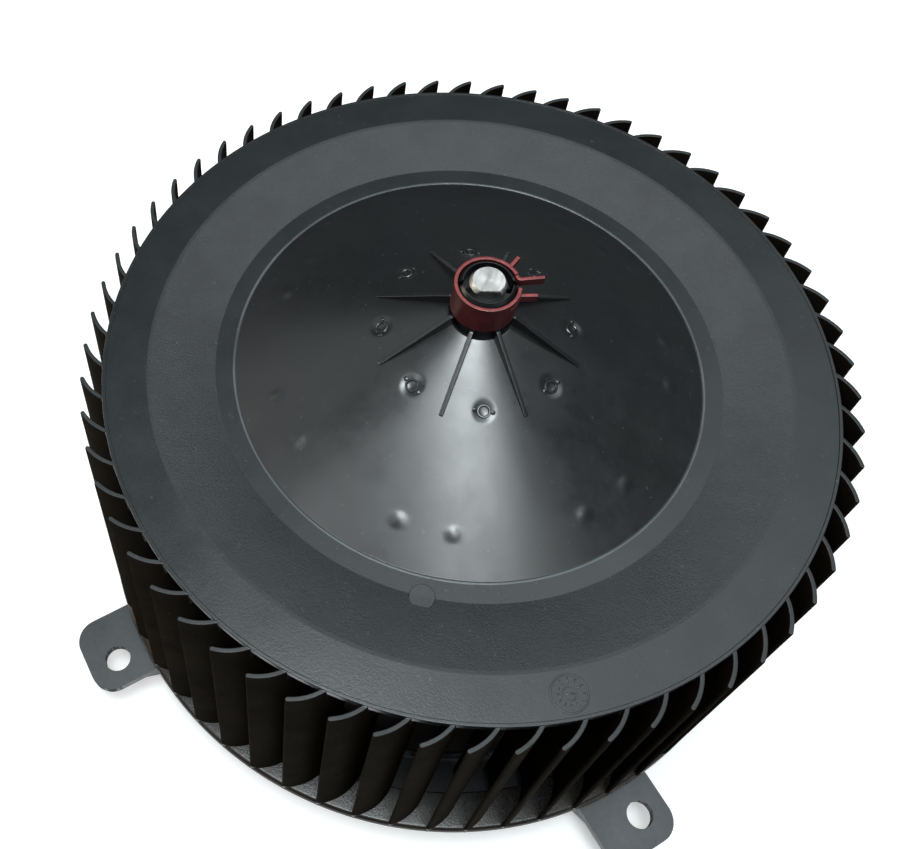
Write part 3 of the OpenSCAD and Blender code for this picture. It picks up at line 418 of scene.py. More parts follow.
class Finish:
    """A material and the nodes that make it, wired to one Principled shader."""

    def __init__(self, name, base, roughness=0.5, metallic=0.0, specular=0.5):
        self.material = bpy.data.materials.new(name)
        self.material.use_nodes = True
        self.tree = self.material.node_tree
        self.shader = self.tree.nodes["Principled BSDF"]
        self.shader.inputs["Base Color"].default_value = (*base, 1)
        self.shader.inputs["Roughness"].default_value = roughness
        self.shader.inputs["Metallic"].default_value = metallic
        self.shader.inputs["Specular IOR Level"].default_value = specular
        self.coordinates = self.add("ShaderNodeTexCoord")
        self.place = self.coordinates.outputs["Object"]
        self.split = None
        self.normal = None

    def add(self, kind, **settings):
        """A new node with its settings."""
        node = self.tree.nodes.new(kind)
        for key, value in settings.items():
            setattr(node, key, value)
        return node

    def link(self, output, target):
        """Joins an output to a socket."""
        self.tree.links.new(output, target)

    def noise(self, size, detail=3, roughness=0.5, stretch=None):
        """Noise whose features are about size metres across."""
        node = self.add("ShaderNodeTexNoise")
        node.inputs["Scale"].default_value = 1 / size
        node.inputs["Detail"].default_value = detail
        node.inputs["Roughness"].default_value = roughness
        place = self.place
        if stretch:
            mapping = self.add("ShaderNodeMapping")
            mapping.inputs["Scale"].default_value = stretch
            self.link(place, mapping.inputs["Vector"])
            place = mapping.outputs["Vector"]
        self.link(place, node.inputs["Vector"])
        return node.outputs["Fac"]

    def spread(self, value, low, high, out_low=0.0, out_high=1.0):
        """Maps the stretch from low to high of a value onto another range."""
        node = self.add("ShaderNodeMapRange")
        ends = {"From Min": low, "From Max": high, "To Min": out_low, "To Max": out_high}
        for name, number in ends.items():
            node.inputs[name].default_value = number
        self.link(value, node.inputs["Value"])
        return node.outputs["Result"]

    def fall(self, value, low, high):
        """1 below low and 0 above high."""
        return self.spread(value, low, high, 1, 0)

    def blend(self, factor, a, b):
        """A colour between a and b, each a colour or an output."""
        node = self.add("ShaderNodeMix", data_type="RGBA")
        self.link(factor, node.inputs["Factor"])
        for name, value in (("A", a), ("B", b)):
            socket = next(s for s in node.inputs if s.name == name and s.type == "RGBA")
            if isinstance(value, bpy.types.NodeSocket):
                self.link(value, socket)
            else:
                socket.default_value = (*value, 1)
        return next(s for s in node.outputs if s.type == "RGBA")

    def shades(self, factor, base, dark, light):
        """A colour between a darker and a lighter shade of the base."""
        return self.blend(factor, tinted(base, dark), tinted(base, light))

    def sum(self, a, b, share):
        """a plus b times its share."""
        node = self.add("ShaderNodeMath", operation="MULTIPLY_ADD")
        self.link(b, node.inputs[0])
        node.inputs[1].default_value = share
        self.link(a, node.inputs[2])
        return node.outputs["Value"]

    def relief(self, height, depth, strength=1.0):
        """Bumps the surface by a height of 0 to 1, depth metres deep."""
        node = self.add("ShaderNodeBump")
        node.inputs["Strength"].default_value = strength
        node.inputs["Distance"].default_value = depth
        self.link(height, node.inputs["Height"])
        if self.normal:
            self.link(self.normal, node.inputs["Normal"])
        self.normal = node.outputs["Normal"]
        self.link(self.normal, self.shader.inputs["Normal"])

    def math(self, operation, a, b, clamp=False):
        """A sum, product or other step on two values, each a number or an output."""
        node = self.add("ShaderNodeMath", operation=operation, use_clamp=clamp)
        for socket, value in zip(node.inputs, (a, b)):
            self.feed(value, socket)
        return node.outputs["Value"]

    def times(self, a, b):
        """A product of two values."""
        return self.math("MULTIPLY", a, b)

    def rest(self, value):
        """1 less a value."""
        return self.math("SUBTRACT", 1.0, value)

    def mix(self, factor, a, b):
        """A value between a and b, each a number or an output."""
        node = self.add("ShaderNodeMix", data_type="FLOAT")
        self.link(factor, node.inputs[0])
        self.feed(a, node.inputs[2])
        self.feed(b, node.inputs[3])
        return node.outputs[0]

    def feed(self, value, socket):
        """Links an output, or sets a number."""
        if isinstance(value, bpy.types.NodeSocket):
            self.link(value, socket)
        else:
            socket.default_value = value

    def parts(self):
        """The place split into its three coordinates."""
        if self.split is None:
            self.split = self.add("ShaderNodeSeparateXYZ")
            self.link(self.place, self.split.inputs["Vector"])
        return self.split.outputs

    def radius(self):
        """Distance from the shaft's axis."""
        x, y = self.parts()["X"], self.parts()["Y"]
        square = self.math("ADD", self.times(x, x), self.times(y, y))
        return self.math("POWER", square, 0.5)

    def height(self):
        """Height above the ground."""
        return self.parts()["Z"]

    def turn(self):
        """Angle about the shaft's axis."""
        return self.math("ARCTAN2", self.parts()["Y"], self.parts()["X"])

    def facing(self):
        """How far a face looks up: 1 is level."""
        node = self.add("ShaderNodeSeparateXYZ")
        self.link(self.coordinates.outputs["Normal"], node.inputs["Vector"])
        return node.outputs["Z"]

    def wave(self, value, period):
        """Even ridges along a value, from 0 to 1."""
        swing = self.math("SINE", self.times(value, FULL_TURN / period), 0.0)
        return self.spread(swing, -1, 1)

    def polar_noise(self, around, along, detail=3):
        """Streaks that run out from the shaft: around of them to a radian, along metres long."""
        node = self.add("ShaderNodeTexNoise")
        node.inputs["Scale"].default_value = 1
        node.inputs["Detail"].default_value = detail
        vector = self.add("ShaderNodeCombineXYZ")
        self.link(self.times(self.turn(), around), vector.inputs["X"])
        self.link(self.math("DIVIDE", self.radius(), along), vector.inputs["Y"])
        self.link(vector.outputs["Vector"], node.inputs["Vector"])
        return node.outputs["Fac"]

    def colour(self, output):
        """Colours the surface."""
        self.link(output, self.shader.inputs["Base Color"])

    def roughness(self, output):
        """Sets the surface's roughness."""
        self.link(output, self.shader.inputs["Roughness"])


def tinted(base, factor):
    """The colour made lighter or darker by a factor."""
    return tuple(min(1.0, c * factor) for c in base)


def moulded_plastic(name, base, roughness):
    """Moulded plastic: cloudy colour, uneven gloss, a fine grain and slow waves."""
    finish = Finish(name, base, roughness)
    clouds = finish.noise(0.016, detail=5, roughness=0.6)
    specks = finish.noise(0.0014, detail=3)
    shade = finish.sum(clouds, specks, 0.35)
    finish.colour(finish.shades(finish.spread(shade, 0.45, 0.95), base, 0.72, 1.35))
    gloss = finish.sum(finish.noise(0.009, detail=4), finish.noise(0.0011, detail=2), 0.4)
    finish.roughness(finish.spread(gloss, 0.4, 1.0, roughness - 0.07, roughness + 0.1))
    finish.relief(finish.noise(0.00035, detail=2), 0.00003, 0.35)
    finish.relief(finish.noise(0.006, detail=2), 0.00012, 0.25)
    return finish.material


def wheel_zones(finish, wheel):
    """Where the wheel's parts lie: masks that are 1 on a part and 0 off it."""
    radius = finish.radius()
    height = finish.height()
    rim = rim_height(wheel)
    underside = rim - wheel.land_drop - wheel.disc_wall
    ring_top = rim - wheel.height + wheel.ring_thickness
    outside = finish.spread(radius, wheel.disc_radius + 0.15 * MM, wheel.disc_radius + 0.25 * MM)
    below = finish.fall(height, underside + 0.1 * MM, underside + 0.3 * MM)
    blade = finish.math("MAXIMUM", outside, below)
    disc = finish.rest(blade)
    inside = finish.fall(radius, wheel.foot_radius - 0.4 * MM, wheel.foot_radius - 0.3 * MM)
    cone = finish.times(inside, disc)
    beyond_neck = finish.spread(radius, wheel.neck_radius - 0.2 * MM, wheel.neck_radius + 0.1 * MM)
    beyond_land = finish.spread(radius, wheel.land_radius - 0.2 * MM, wheel.land_radius + 0.4 * MM)
    within_step = finish.fall(radius, wheel.step_radius - 0.7 * MM, wheel.step_radius + 0.3 * MM)
    bead = finish.times(
        finish.spread(radius, wheel.foot_radius - 0.3 * MM, wheel.foot_radius - 0.05 * MM),
        finish.fall(radius, wheel.foot_radius + 0.2 * MM, wheel.foot_radius + 0.4 * MM),
    )
    ring = finish.fall(height, ring_top + 0.4 * MM, ring_top + 0.6 * MM)
    upward = finish.spread(finish.facing(), 0.5, 0.9)
    return {
        "blade": blade,
        "cone": cone,
        "polish": finish.times(cone, beyond_neck),
        "dish": finish.times(within_step, beyond_land),
        "bead": finish.times(bead, disc),
        "ring": ring,
        "upward": upward,
        "edge": finish.times(upward, finish.rest(ring)),
    }


def wheel_plastic(colours, wheel):
    """The wheel's plastic: satin flat rings, a smooth dark cone, a painted highlight on the bead and dark
    blades with a painted warm reflection on their sides.
    """
    finish = Finish("wheel_plastic", colours.wheel, 0.45)
    zone = wheel_zones(finish, wheel)
    clouds = finish.noise(0.018, detail=5, roughness=0.6)
    specks = finish.noise(0.0006, detail=3, roughness=0.6)
    tone = finish.spread(finish.sum(clouds, specks, 0.5), 0.55, 0.95)
    flat_colour = finish.shades(tone, colours.wheel, 0.8, 1.22)
    cone_colour = finish.shades(tone, colours.cone, 0.8, 1.25)
    # The blade sides carry a warm brown painted reflection; their upper faces keep the flat rings' colour.
    blade_reflection_colour = finish.shades(tone, colours.blade, 0.75, 1.35)
    blade_skin = finish.blend(zone["edge"], blade_reflection_colour, flat_colour)
    disc_skin = finish.blend(zone["cone"], flat_colour, cone_colour)
    skin = finish.blend(zone["blade"], disc_skin, blade_skin)
    # A paler colour along the land's inner bead, patchy with the clouds: a painted highlight.
    painted_highlight = finish.times(zone["bead"], finish.spread(clouds, 0.3, 0.6, 0.35, 0.8))
    skin = finish.blend(painted_highlight, skin, colours.bead_highlight)
    dust = finish.spread(finish.noise(0.0011, detail=1), 0.75, 0.775, 0, 0.2)
    finish.colour(finish.blend(dust, skin, colours.dust))

    flow = finish.polar_noise(22, 0.05, detail=2)
    patches = finish.noise(0.007, detail=4)
    mottle = finish.noise(0.0016, detail=4, roughness=0.65)
    flat_gloss = finish.spread(patches, 0.3, 0.7, 0.28, 0.35)
    dish_gloss = finish.spread(patches, 0.3, 0.7, 0.24, 0.3)
    satin = finish.sum(finish.sum(patches, mottle, 0.6), flow, 0.15)
    foot = finish.spread(finish.radius(), wheel.foot_radius - 21 * MM, wheel.foot_radius - 3 * MM)
    cone_gloss = finish.sum(finish.spread(satin, 0.6, 1.15, 0.26, 0.37), foot, 0.06)
    blade_gloss = finish.mix(zone["ring"], finish.spread(patches, 0.3, 0.7, 0.5, 0.6), 0.27)
    gloss = finish.mix(zone["dish"], flat_gloss, dish_gloss)
    gloss = finish.mix(zone["cone"], gloss, cone_gloss)
    finish.roughness(finish.mix(zone["blade"], gloss, blade_gloss))

    blade_only = finish.math("SUBTRACT", zone["blade"], zone["ring"], clamp=True)
    side = finish.times(blade_only, finish.rest(zone["upward"]))
    shine = finish.mix(side, finish.mix(zone["polish"], 0.5, 0.8), 0.001)
    finish.link(shine, finish.shader.inputs["Specular IOR Level"])
    finish.link(finish.times(zone["polish"], 0.45), finish.shader.inputs["Coat Weight"])
    finish.shader.inputs["Coat Roughness"].default_value = 0.27

    smooth = finish.spread(zone["cone"], 0, 1, 1.0, 0.3)
    finish.relief(finish.times(finish.noise(0.00042, detail=3), smooth), 0.00005, 0.55)
    finish.relief(finish.times(flow, zone["cone"]), 0.00004, 0.15)
    finish.relief(finish.noise(0.011, detail=2), 0.0002, 0.25)
    return finish.material


def coated_red(colours):
    """Red coat over spring steel, with a painted highlight that makes the faces that look up paler."""
    base = colours.clip
    finish = Finish("red_coat", base, 0.38)
    stain = finish.spread(finish.noise(0.0025, detail=5, roughness=0.65), 0.4, 0.7)
    coat = finish.shades(stain, base, 0.8, 1.35)
    # A paler red on the faces that look up, broken into patches: a painted highlight.
    upward = finish.spread(finish.facing(), 0.55, 0.85)
    highlight_patches = finish.spread(finish.noise(0.0009, detail=4, roughness=0.7), 0.36, 0.5, 0.55, 1.0)
    painted_highlight = finish.shades(stain, colours.clip_top_highlight, 0.75, 1.25)
    chips = finish.spread(finish.noise(0.0007, detail=3), 0.68, 0.72, 0, 0.5)
    skin = finish.blend(finish.times(upward, highlight_patches), coat, painted_highlight)
    finish.colour(finish.blend(chips, skin, tinted(base, 0.35)))
    finish.roughness(finish.spread(finish.noise(0.0012), 0.3, 0.7, 0.32, 0.5))
    finish.relief(finish.noise(0.0006, detail=3), 0.00004, 0.4)
    return finish.material


def bright_metal(name, base, roughness, stretch=(1, 1, 1), grain=0.0004):
    """Bare or plated metal with a fine grain, drawn out where stretched, and a cloudy tone."""
    finish = Finish(name, base, roughness, metallic=1.0)
    fine = finish.noise(grain, detail=3, stretch=stretch)
    clouds = finish.noise(0.006, detail=4)
    shade = finish.sum(fine, clouds, 0.8)
    finish.colour(finish.shades(finish.spread(shade, 0.6, 1.2), base, 0.8, 1.1))
    finish.roughness(finish.spread(shade, 0.6, 1.2, roughness + 0.08, roughness - 0.06))
    finish.relief(fine, 0.00001, 0.4)
    return finish.material


def turned_steel(colours):
    """Turned steel: rings round the shaft and a sawn, lightly turned face."""
    finish = Finish("turned_steel", colours.steel, 0.4, metallic=1.0)
    finish.shader.inputs["Anisotropic"].default_value = 0.35
    tangent = finish.add("ShaderNodeTangent", direction_type="RADIAL", axis="Z")
    finish.link(tangent.outputs["Tangent"], finish.shader.inputs["Tangent"])
    rings = finish.wave(finish.radius(), 0.00022)
    along = finish.wave(finish.height(), 0.00030)
    face = finish.spread(finish.facing(), 0.9, 0.95)
    lines = finish.mix(face, along, rings)
    clouds = finish.noise(0.0009, detail=4, stretch=(1, 0.22, 1))
    shade = finish.sum(finish.times(lines, 0.2), clouds, 1.0)
    base = colours.steel
    finish.colour(finish.shades(finish.spread(shade, 0.35, 0.85), base, 0.66, 1.12))
    finish.roughness(finish.spread(clouds, 0.3, 0.7, 0.38, 0.5))
    finish.relief(lines, 0.00001, 0.35)
    return finish.material


def wound_copper(colours):
    """Enamelled copper wire laid in turns."""
    finish = Finish("wound_copper", colours.copper, 0.32, metallic=1.0)
    turns = finish.wave(finish.turn(), 0.11)
    across = finish.noise(0.0012, detail=2)
    base = colours.copper
    # Darker in the grooves between the turns: painted shade.
    shade = finish.spread(finish.sum(finish.times(turns, 0.6), across, 0.6), 0.2, 0.9)
    finish.colour(finish.shades(shade, base, 0.45, 1.15))
    finish.roughness(finish.spread(across, 0.3, 0.7, 0.25, 0.4))
    finish.relief(turns, 0.0003, 0.8)
    return finish.material


def stacked_steel(colours):
    """Laminated steel: thin plates stacked along the shaft."""
    finish = Finish("stacked_steel", colours.zinc, 0.45, metallic=1.0)
    plates = finish.wave(finish.height(), 0.0006)
    stain = finish.noise(0.003, detail=5, roughness=0.7)
    base = colours.zinc
    shade = finish.spread(finish.sum(finish.times(plates, 0.5), stain, 0.8), 0.3, 1.0)
    finish.colour(finish.shades(shade, base, 0.35, 0.95))
    finish.roughness(finish.spread(stain, 0.3, 0.7, 0.38, 0.58))
    finish.relief(plates, 0.0001, 0.6)
    return finish.material


def soft_rubber(colours):
    """Black rubber with a dusty, faintly pitted skin."""
    finish = Finish("black_rubber", colours.rubber, 0.7, specular=0.35)
    bloom = finish.noise(0.005, detail=5, roughness=0.65)
    base = colours.rubber
    finish.colour(finish.shades(finish.spread(bloom, 0.35, 0.7), base, 0.7, 2.0))
    finish.roughness(finish.spread(bloom, 0.3, 0.7, 0.6, 0.8))
    finish.relief(finish.noise(0.0003, detail=2), 0.00005, 0.5)
    return finish.material


def pressed_powder(name, base, roughness, metallic=0.0):
    """A pressed or sintered part: close pores and a mottled tone."""
    finish = Finish(name, base, roughness, metallic=metallic)
    pores = finish.noise(0.00035, detail=4, roughness=0.7)
    mottle = finish.noise(0.003, detail=4)
    shade = finish.sum(pores, mottle, 0.8)
    finish.colour(finish.shades(finish.spread(shade, 0.6, 1.15), base, 0.6, 1.25))
    finish.roughness(finish.spread(mottle, 0.3, 0.7, roughness - 0.06, roughness + 0.1))
    finish.relief(pores, 0.00004, 0.5)
    return finish.material


# Fan wheel


def cone_height(wheel, radius):
    """Height of the cone's upper face above the disc's edge at a radius."""
    return wheel.cone_height - (radius - wheel.neck_radius) * math.tan(cone_tilt(wheel))


def cone_tilt(wheel):
    """Angle of the cone's face below the horizontal."""
    return math.atan((wheel.cone_height + wheel.foot_drop) / (wheel.foot_radius - wheel.neck_radius))


def rim_height(wheel):
    """Height of the disc's edge above the base."""
    return WHEEL_BOX[0].z + wheel.height


def disc_outline(wheel):
    """The disc and cone's section, from the upper edge inwards and back along the lower face."""
    bead_in = wheel.disc_radius - wheel.bead_width
    step_in = wheel.step_radius - wheel.step_height
    foot = wheel.foot_radius
    foot_in = foot - 0.35 * MM
    land_bead = wheel.land_bead - wheel.land_drop
    upper = [
        ((wheel.disc_radius, 0), 0.18 * MM),
        ((bead_in, 0), 0.12 * MM),
        ((bead_in, -wheel.bead_height), 0.06 * MM),
        ((wheel.step_radius + 0.3 * MM, -wheel.bead_height), 2 * MM),
        ((step_in - 0.4 * MM, -wheel.bead_height - wheel.step_height), 2 * MM),
        ((wheel.land_radius, -wheel.land_drop), 1.2 * MM),
        ((foot + 0.3 * MM, -wheel.land_drop), 0.2 * MM),
        ((foot + 0.15 * MM, land_bead), 0.1 * MM),
        ((foot - 0.1 * MM, land_bead), 0.1 * MM),
        ((foot_in, cone_height(wheel, foot_in)), 0.2 * MM),
        ((wheel.neck_radius, wheel.cone_height), 0.8 * MM),
        ((wheel.neck_radius - 1.5 * MM, wheel.cone_height), 0),
    ]
    lower = [((r, z - wheel.disc_wall), min(fillet, 0.5 * MM)) for (r, z), fillet in reversed(upper)]
    points, radii = map(list, zip(*upper, *lower))
    outline = divided(rounded(points, radii), wheel.neck_radius, foot, 1.2 * MM)
    # The hollows and the bumps need closer points
    outline = divided(outline, wheel.mark_place - 4 * MM, wheel.mark_place + 4 * MM, 0.4 * MM)
    return divided(outline, wheel.bump_place - 4 * MM, wheel.bump_place + 4.5 * MM, 0.5 * MM)


def raise_round(verts, centre, radius, height):
    """Raises a soft round bump round a centre, or sinks a hollow where the height is negative."""
    for v in verts:
        share = (v.co.xy - centre).length / radius
        if share < 1:
            v.co.z += height * (1 - share * share) ** 2


def turned(radius, turn):
    """The plan point at a radius and a turn about the shaft."""
    return Vector((radius * math.cos(turn), radius * math.sin(turn)))


def mark_turns(wheel):
    """The turns of the pin marks, each halfway between two ribs."""
    return [wheel.rib_turn + (i + 0.5) * FULL_TURN / wheel.rib_count for i in range(wheel.rib_count)]


def bump_turns(wheel):
    """The turns of the bumps, which stand in pairs."""
    for i in range(wheel.bump_pairs):
        for side in (-1, 1):
            yield wheel.bump_turn + i * FULL_TURN / wheel.bump_pairs + side * wheel.bump_spread


def upper_face(verts, wheel, place, reach):
    """The vertices of the cone's upper face within reach of a circle about the shaft."""
    near = []
    for v in verts:
        radius = v.co.xy.length
        if abs(radius - place) < reach and v.co.z > cone_height(wheel, radius) - wheel.disc_wall / 2:
            near.append(v)
    return near


def wheel_disc(bm, wheel):
    """The disc, its cone and the hollows and bumps in its upper face."""
    part = bmesh.new()
    verts = lathe(part, disc_outline(wheel), WHEEL_SEGMENTS)
    near_marks = upper_face(verts, wheel, wheel.mark_place, wheel.mark_hollow)
    near_bumps = upper_face(verts, wheel, wheel.bump_place, wheel.bump_radius)
    for turn in mark_turns(wheel):
        raise_round(near_marks, turned(wheel.mark_place, turn), wheel.mark_hollow, -wheel.mark_depth)
    for turn in bump_turns(wheel):
        raise_round(near_bumps, turned(wheel.bump_place, turn), wheel.bump_radius, wheel.bump_height)
    add_bmesh(bm, part)


def blade_loop(wheel, half, shift, z):
    """A blade's section at a height: an arc of the blade's thickness with round ends."""
    radius = wheel.blade_arc
    quarter = math.pi / 2
    centre = Vector((-radius * math.sin(wheel.tip_angle), -radius * math.cos(wheel.tip_angle)))
    start = quarter - wheel.tip_angle
    end = quarter - wheel.root_angle
    arc_steps = 14
    end_steps = 6
    points = []
    for k in range(arc_steps + 1):
        a = start + (end - start) * k / arc_steps
        points.append(centre + turned(radius + half, a))
    root = centre + turned(radius, end)
    points.extend(root + turned(half, end + math.pi * k / end_steps) for k in range(1, end_steps))
    for k in range(arc_steps + 1):
        a = end + (start - end) * k / arc_steps
        points.append(centre + turned(radius - half, a))
    tip = centre + turned(radius, start)
    points.extend(tip + turned(half, start + math.pi + math.pi * k / end_steps) for k in range(1, end_steps))
    return [Vector((wheel.tip_top_radius + shift + p.x, p.y, z)) for p in points]


def blades(bm, wheel):
    """All the blades, leaning outwards towards the lower ring, with softened upper edges."""
    lean = (wheel.tip_low_radius - wheel.tip_top_radius) / wheel.height
    half = wheel.blade_thickness / 2
    top = -wheel.blade_drop
    low = -wheel.height + 0.4 * MM
    edge = 0.25 * MM
    levels = [(top, edge), (top - 0.3 * edge, 0.3 * edge), (top - edge, 0), (low / 2, 0), (low, 0)]
    for i in range(wheel.blade_count):
        turn = Matrix.Rotation(wheel.blade_turn + i * FULL_TURN / wheel.blade_count, 4, "Z")
        loops = [[turn @ p for p in blade_loop(wheel, half - inset, -z * lean, z)] for z, inset in levels]
        loft(bm, loops)


def lower_ring(bm, wheel):
    """The ring that ties the blades, with a full round outer edge."""
    low = -wheel.height
    outer = wheel.tip_low_radius + 0.5 * MM
    points = [
        (wheel.ring_inner, low),
        (outer, low),
        (outer, low + wheel.ring_thickness),
        (wheel.ring_inner, low + wheel.ring_thickness),
    ]
    edge = wheel.ring_thickness / 2 - 0.01 * MM
    lathe(bm, rounded(points, [0.3 * MM, edge, edge, 0.3 * MM], steps=8), WHEEL_SEGMENTS)


def hub_ribs(bm, wheel):
    """Gusset ribs that run from the collet down the cone."""
    inner = wheel.collet_radius - 0.4 * MM
    end = wheel.rib_radius
    outline = [
        (inner, wheel.cone_height - 1 * MM),
        (inner, wheel.rib_top),
        (wheel.neck_radius + 0.3 * MM, wheel.rib_top),
        (end, cone_height(wheel, end) + 0.25 * MM),
        (end, cone_height(wheel, end) - 0.8 * MM),
    ]
    for i in range(wheel.rib_count):
        turn = Matrix.Rotation(wheel.rib_turn + i * FULL_TURN / wheel.rib_count, 4, "Z")
        add_bmesh(bm, plate(outline, wheel.rib_thickness, turn, 0.18 * MM))


def inner_ribs(bm, wheel):
    """Ribs inside the cone, between the sleeve and the wall."""
    start = wheel.sleeve_radius - 0.5 * MM
    end = wheel.rib_radius + 8 * MM
    wall = wheel.disc_wall - 0.5 * MM
    outline = [
        (start, 0),
        (start, cone_height(wheel, start) - wall),
        (end, cone_height(wheel, end) - wall),
        (end, cone_height(wheel, end) - wall - 1.5 * MM),
    ]
    for turn in mark_turns(wheel):
        rib = plate(outline, wheel.inner_rib_thickness, Matrix.Rotation(turn, 4, "Z"), 0.15 * MM)
        add_bmesh(bm, rib)


def pin_marks(bm, wheel):
    """Small raised rings left by the mould's pins, each between two low lugs."""
    tube = 0.33 * MM
    ring_radius = Vector((1.3 * MM, 0))
    ring = [turned(tube, FULL_TURN * k / 10) + ring_radius for k in range(10)]
    lug = rounded(LUG_SECTION, [0, 0, 0.15 * MM, 0], 3)
    height = cone_height(wheel, wheel.mark_place) - 0.36 * MM
    for turn in mark_turns(wheel):
        place = turned(wheel.mark_place, turn)
        matrix = (
            Matrix.Translation((place.x, place.y, height))
            @ Matrix.Rotation(turn, 4, "Z")
            @ Matrix.Rotation(cone_tilt(wheel), 4, "Y")
        )
        lathe(bm, ring, 28, matrix)
        for side in (-1, 1):
            lathe(bm, lug, 12, matrix @ Matrix.Translation((0.3 * side * MM, 2.0 * side * MM, 0)))


def dial_mark(bm, wheel):
    """A round mould mark with plain ticks and a pointer on the outer flat."""
    place = turned(wheel.dial_place, wheel.dial_turn)
    matrix = Matrix.Translation((place.x, place.y, -wheel.bead_height))
    matrix = matrix @ Matrix.Rotation(wheel.dial_spin, 4, "Z")
    lathe(bm, rounded(DIAL_SECTION, [0, 0, 0.08 * MM, 0.08 * MM], 3), 48, matrix)
    lathe(bm, rounded(HUB_SECTION, [0, 0, 0.06 * MM, 0.06 * MM], 3), 32, matrix)
    ticks = 12
    for i in range(ticks):
        spin = matrix @ Matrix.Rotation(i * FULL_TURN / ticks, 4, "Z")
        add_bmesh(bm, plate(TICK_OUTLINE, 0.32 * MM, spin, 0.05 * MM))
    add_bmesh(bm, plate(POINTER_OUTLINE, 0.4 * MM, matrix, 0.05 * MM))


def gate_mark(bm, wheel):
    """A plain round gate mark on the land."""
    place = turned(wheel.gate_place, wheel.gate_turn)
    spot = rounded(GATE_SECTION, [0, 0, 0.12 * MM, 0], 3)
    lathe(bm, spot, 48, Matrix.Translation((place.x, place.y, -wheel.land_drop)))


def bore_cutter(wheel, low, high):
    """The bore's form: a round with the shaft's flat, as an object."""
    radius = wheel.bore_radius
    reach = math.acos((radius - wheel.bore_flat) / radius)
    start = wheel.flat_turn + reach
    count = 48
    loop = [turned(radius, start + (FULL_TURN - 2 * reach) * k / count) for k in range(count + 1)]
    return plan_cutter(loop, low, high)


def slot_cutter(wheel, turn, low, high):
    """A box through one side of the collet, as an object."""
    reach = 2 * wheel.collet_radius
    half = wheel.collet_slot / 2
    spin = Matrix.Rotation(turn, 2)
    corners = [(0, -half), (reach, -half), (reach, half), (0, half)]
    return plan_cutter([spin @ Vector(corner) for corner in corners], low, high)


def plan_cutter(loop, low, high):
    """A plan outline between two heights, as an object."""
    bm = bmesh.new()
    loft(bm, [[Vector((p.x, p.y, z)) for p in loop] for z in (low, high)])
    return new_object("cutter", bm, [])


def collet(bm, wheel):
    """The split collet with its recess, its slots and the bore for the shaft."""
    top = WHEEL_BOX[1].z - rim_height(wheel)
    low = wheel.cone_height - wheel.disc_wall
    radius = wheel.collet_radius
    part = bmesh.new()
    recess = top - wheel.recess_depth
    lead = wheel.collet_lead
    outline = rounded(
        [
            (0.2 * MM, low),
            (radius, low),
            (radius, top - lead),
            (radius - lead + 0.1 * MM, top),
            (wheel.collet_wall_radius, top),
            (wheel.collet_wall_radius, recess),
            (0.2 * MM, recess),
        ],
        [0, 0, 0.3 * MM, 0.04 * MM, 0.04 * MM, 0.15 * MM, 0],
    )
    lathe(part, outline, 96)
    body = new_object("collet", part, [])
    above = top + 1 * MM
    cutters = [bore_cutter(wheel, low - 1 * MM, above)]
    for side in (0, math.pi):
        turn = wheel.flat_turn + math.pi / 2 + side
        cutters.append(slot_cutter(wheel, turn, wheel.rib_top + 0.2 * MM, above))
    add_bmesh(bm, cut_away(body, cutters))
    sleeve_low = -wheel.sleeve_drop
    sleeve_top = cone_height(wheel, wheel.sleeve_radius) - wheel.disc_wall + 1 * MM
    inner = wheel.bore_radius
    outer = wheel.sleeve_radius
    sleeve = [(inner, sleeve_low), (outer, sleeve_low), (outer, sleeve_top), (inner, sleeve_top)]
    lathe(bm, rounded(sleeve, [0.3 * MM, 0.4 * MM, 0, 0]), 96)


class BLOWER_OT_fan_wheel(bpy.types.Operator):
    """Builds the moulded fan wheel over its solid"""

    bl_idname = "blower.fan_wheel"
    bl_label = "Fan wheel"

    def execute(self, context):
        wheel = context.scene.blower_wheel
        bm = bmesh.new()
        wheel_disc(bm, wheel)
        blades(bm, wheel)
        lower_ring(bm, wheel)
        hub_ribs(bm, wheel)
        inner_ribs(bm, wheel)
        pin_marks(bm, wheel)
        dial_mark(bm, wheel)
        gate_mark(bm, wheel)
        collet(bm, wheel)
        bm.transform(Matrix.Translation((0, 0, rim_height(wheel))))
        material = wheel_plastic(context.scene.blower_colours, wheel)
        obj = new_object("fan_wheel_moulding", bm, [material], sharp=30)
        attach(obj, "rotor")
        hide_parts("fan_wheel")
        return {"FINISHED"}


# Clip and shaft


def arc(radius, start, end, steps):
    """Plan points along an arc about the shaft."""
    return [turned(radius, start + (end - start) * k / steps) for k in range(steps + 1)]


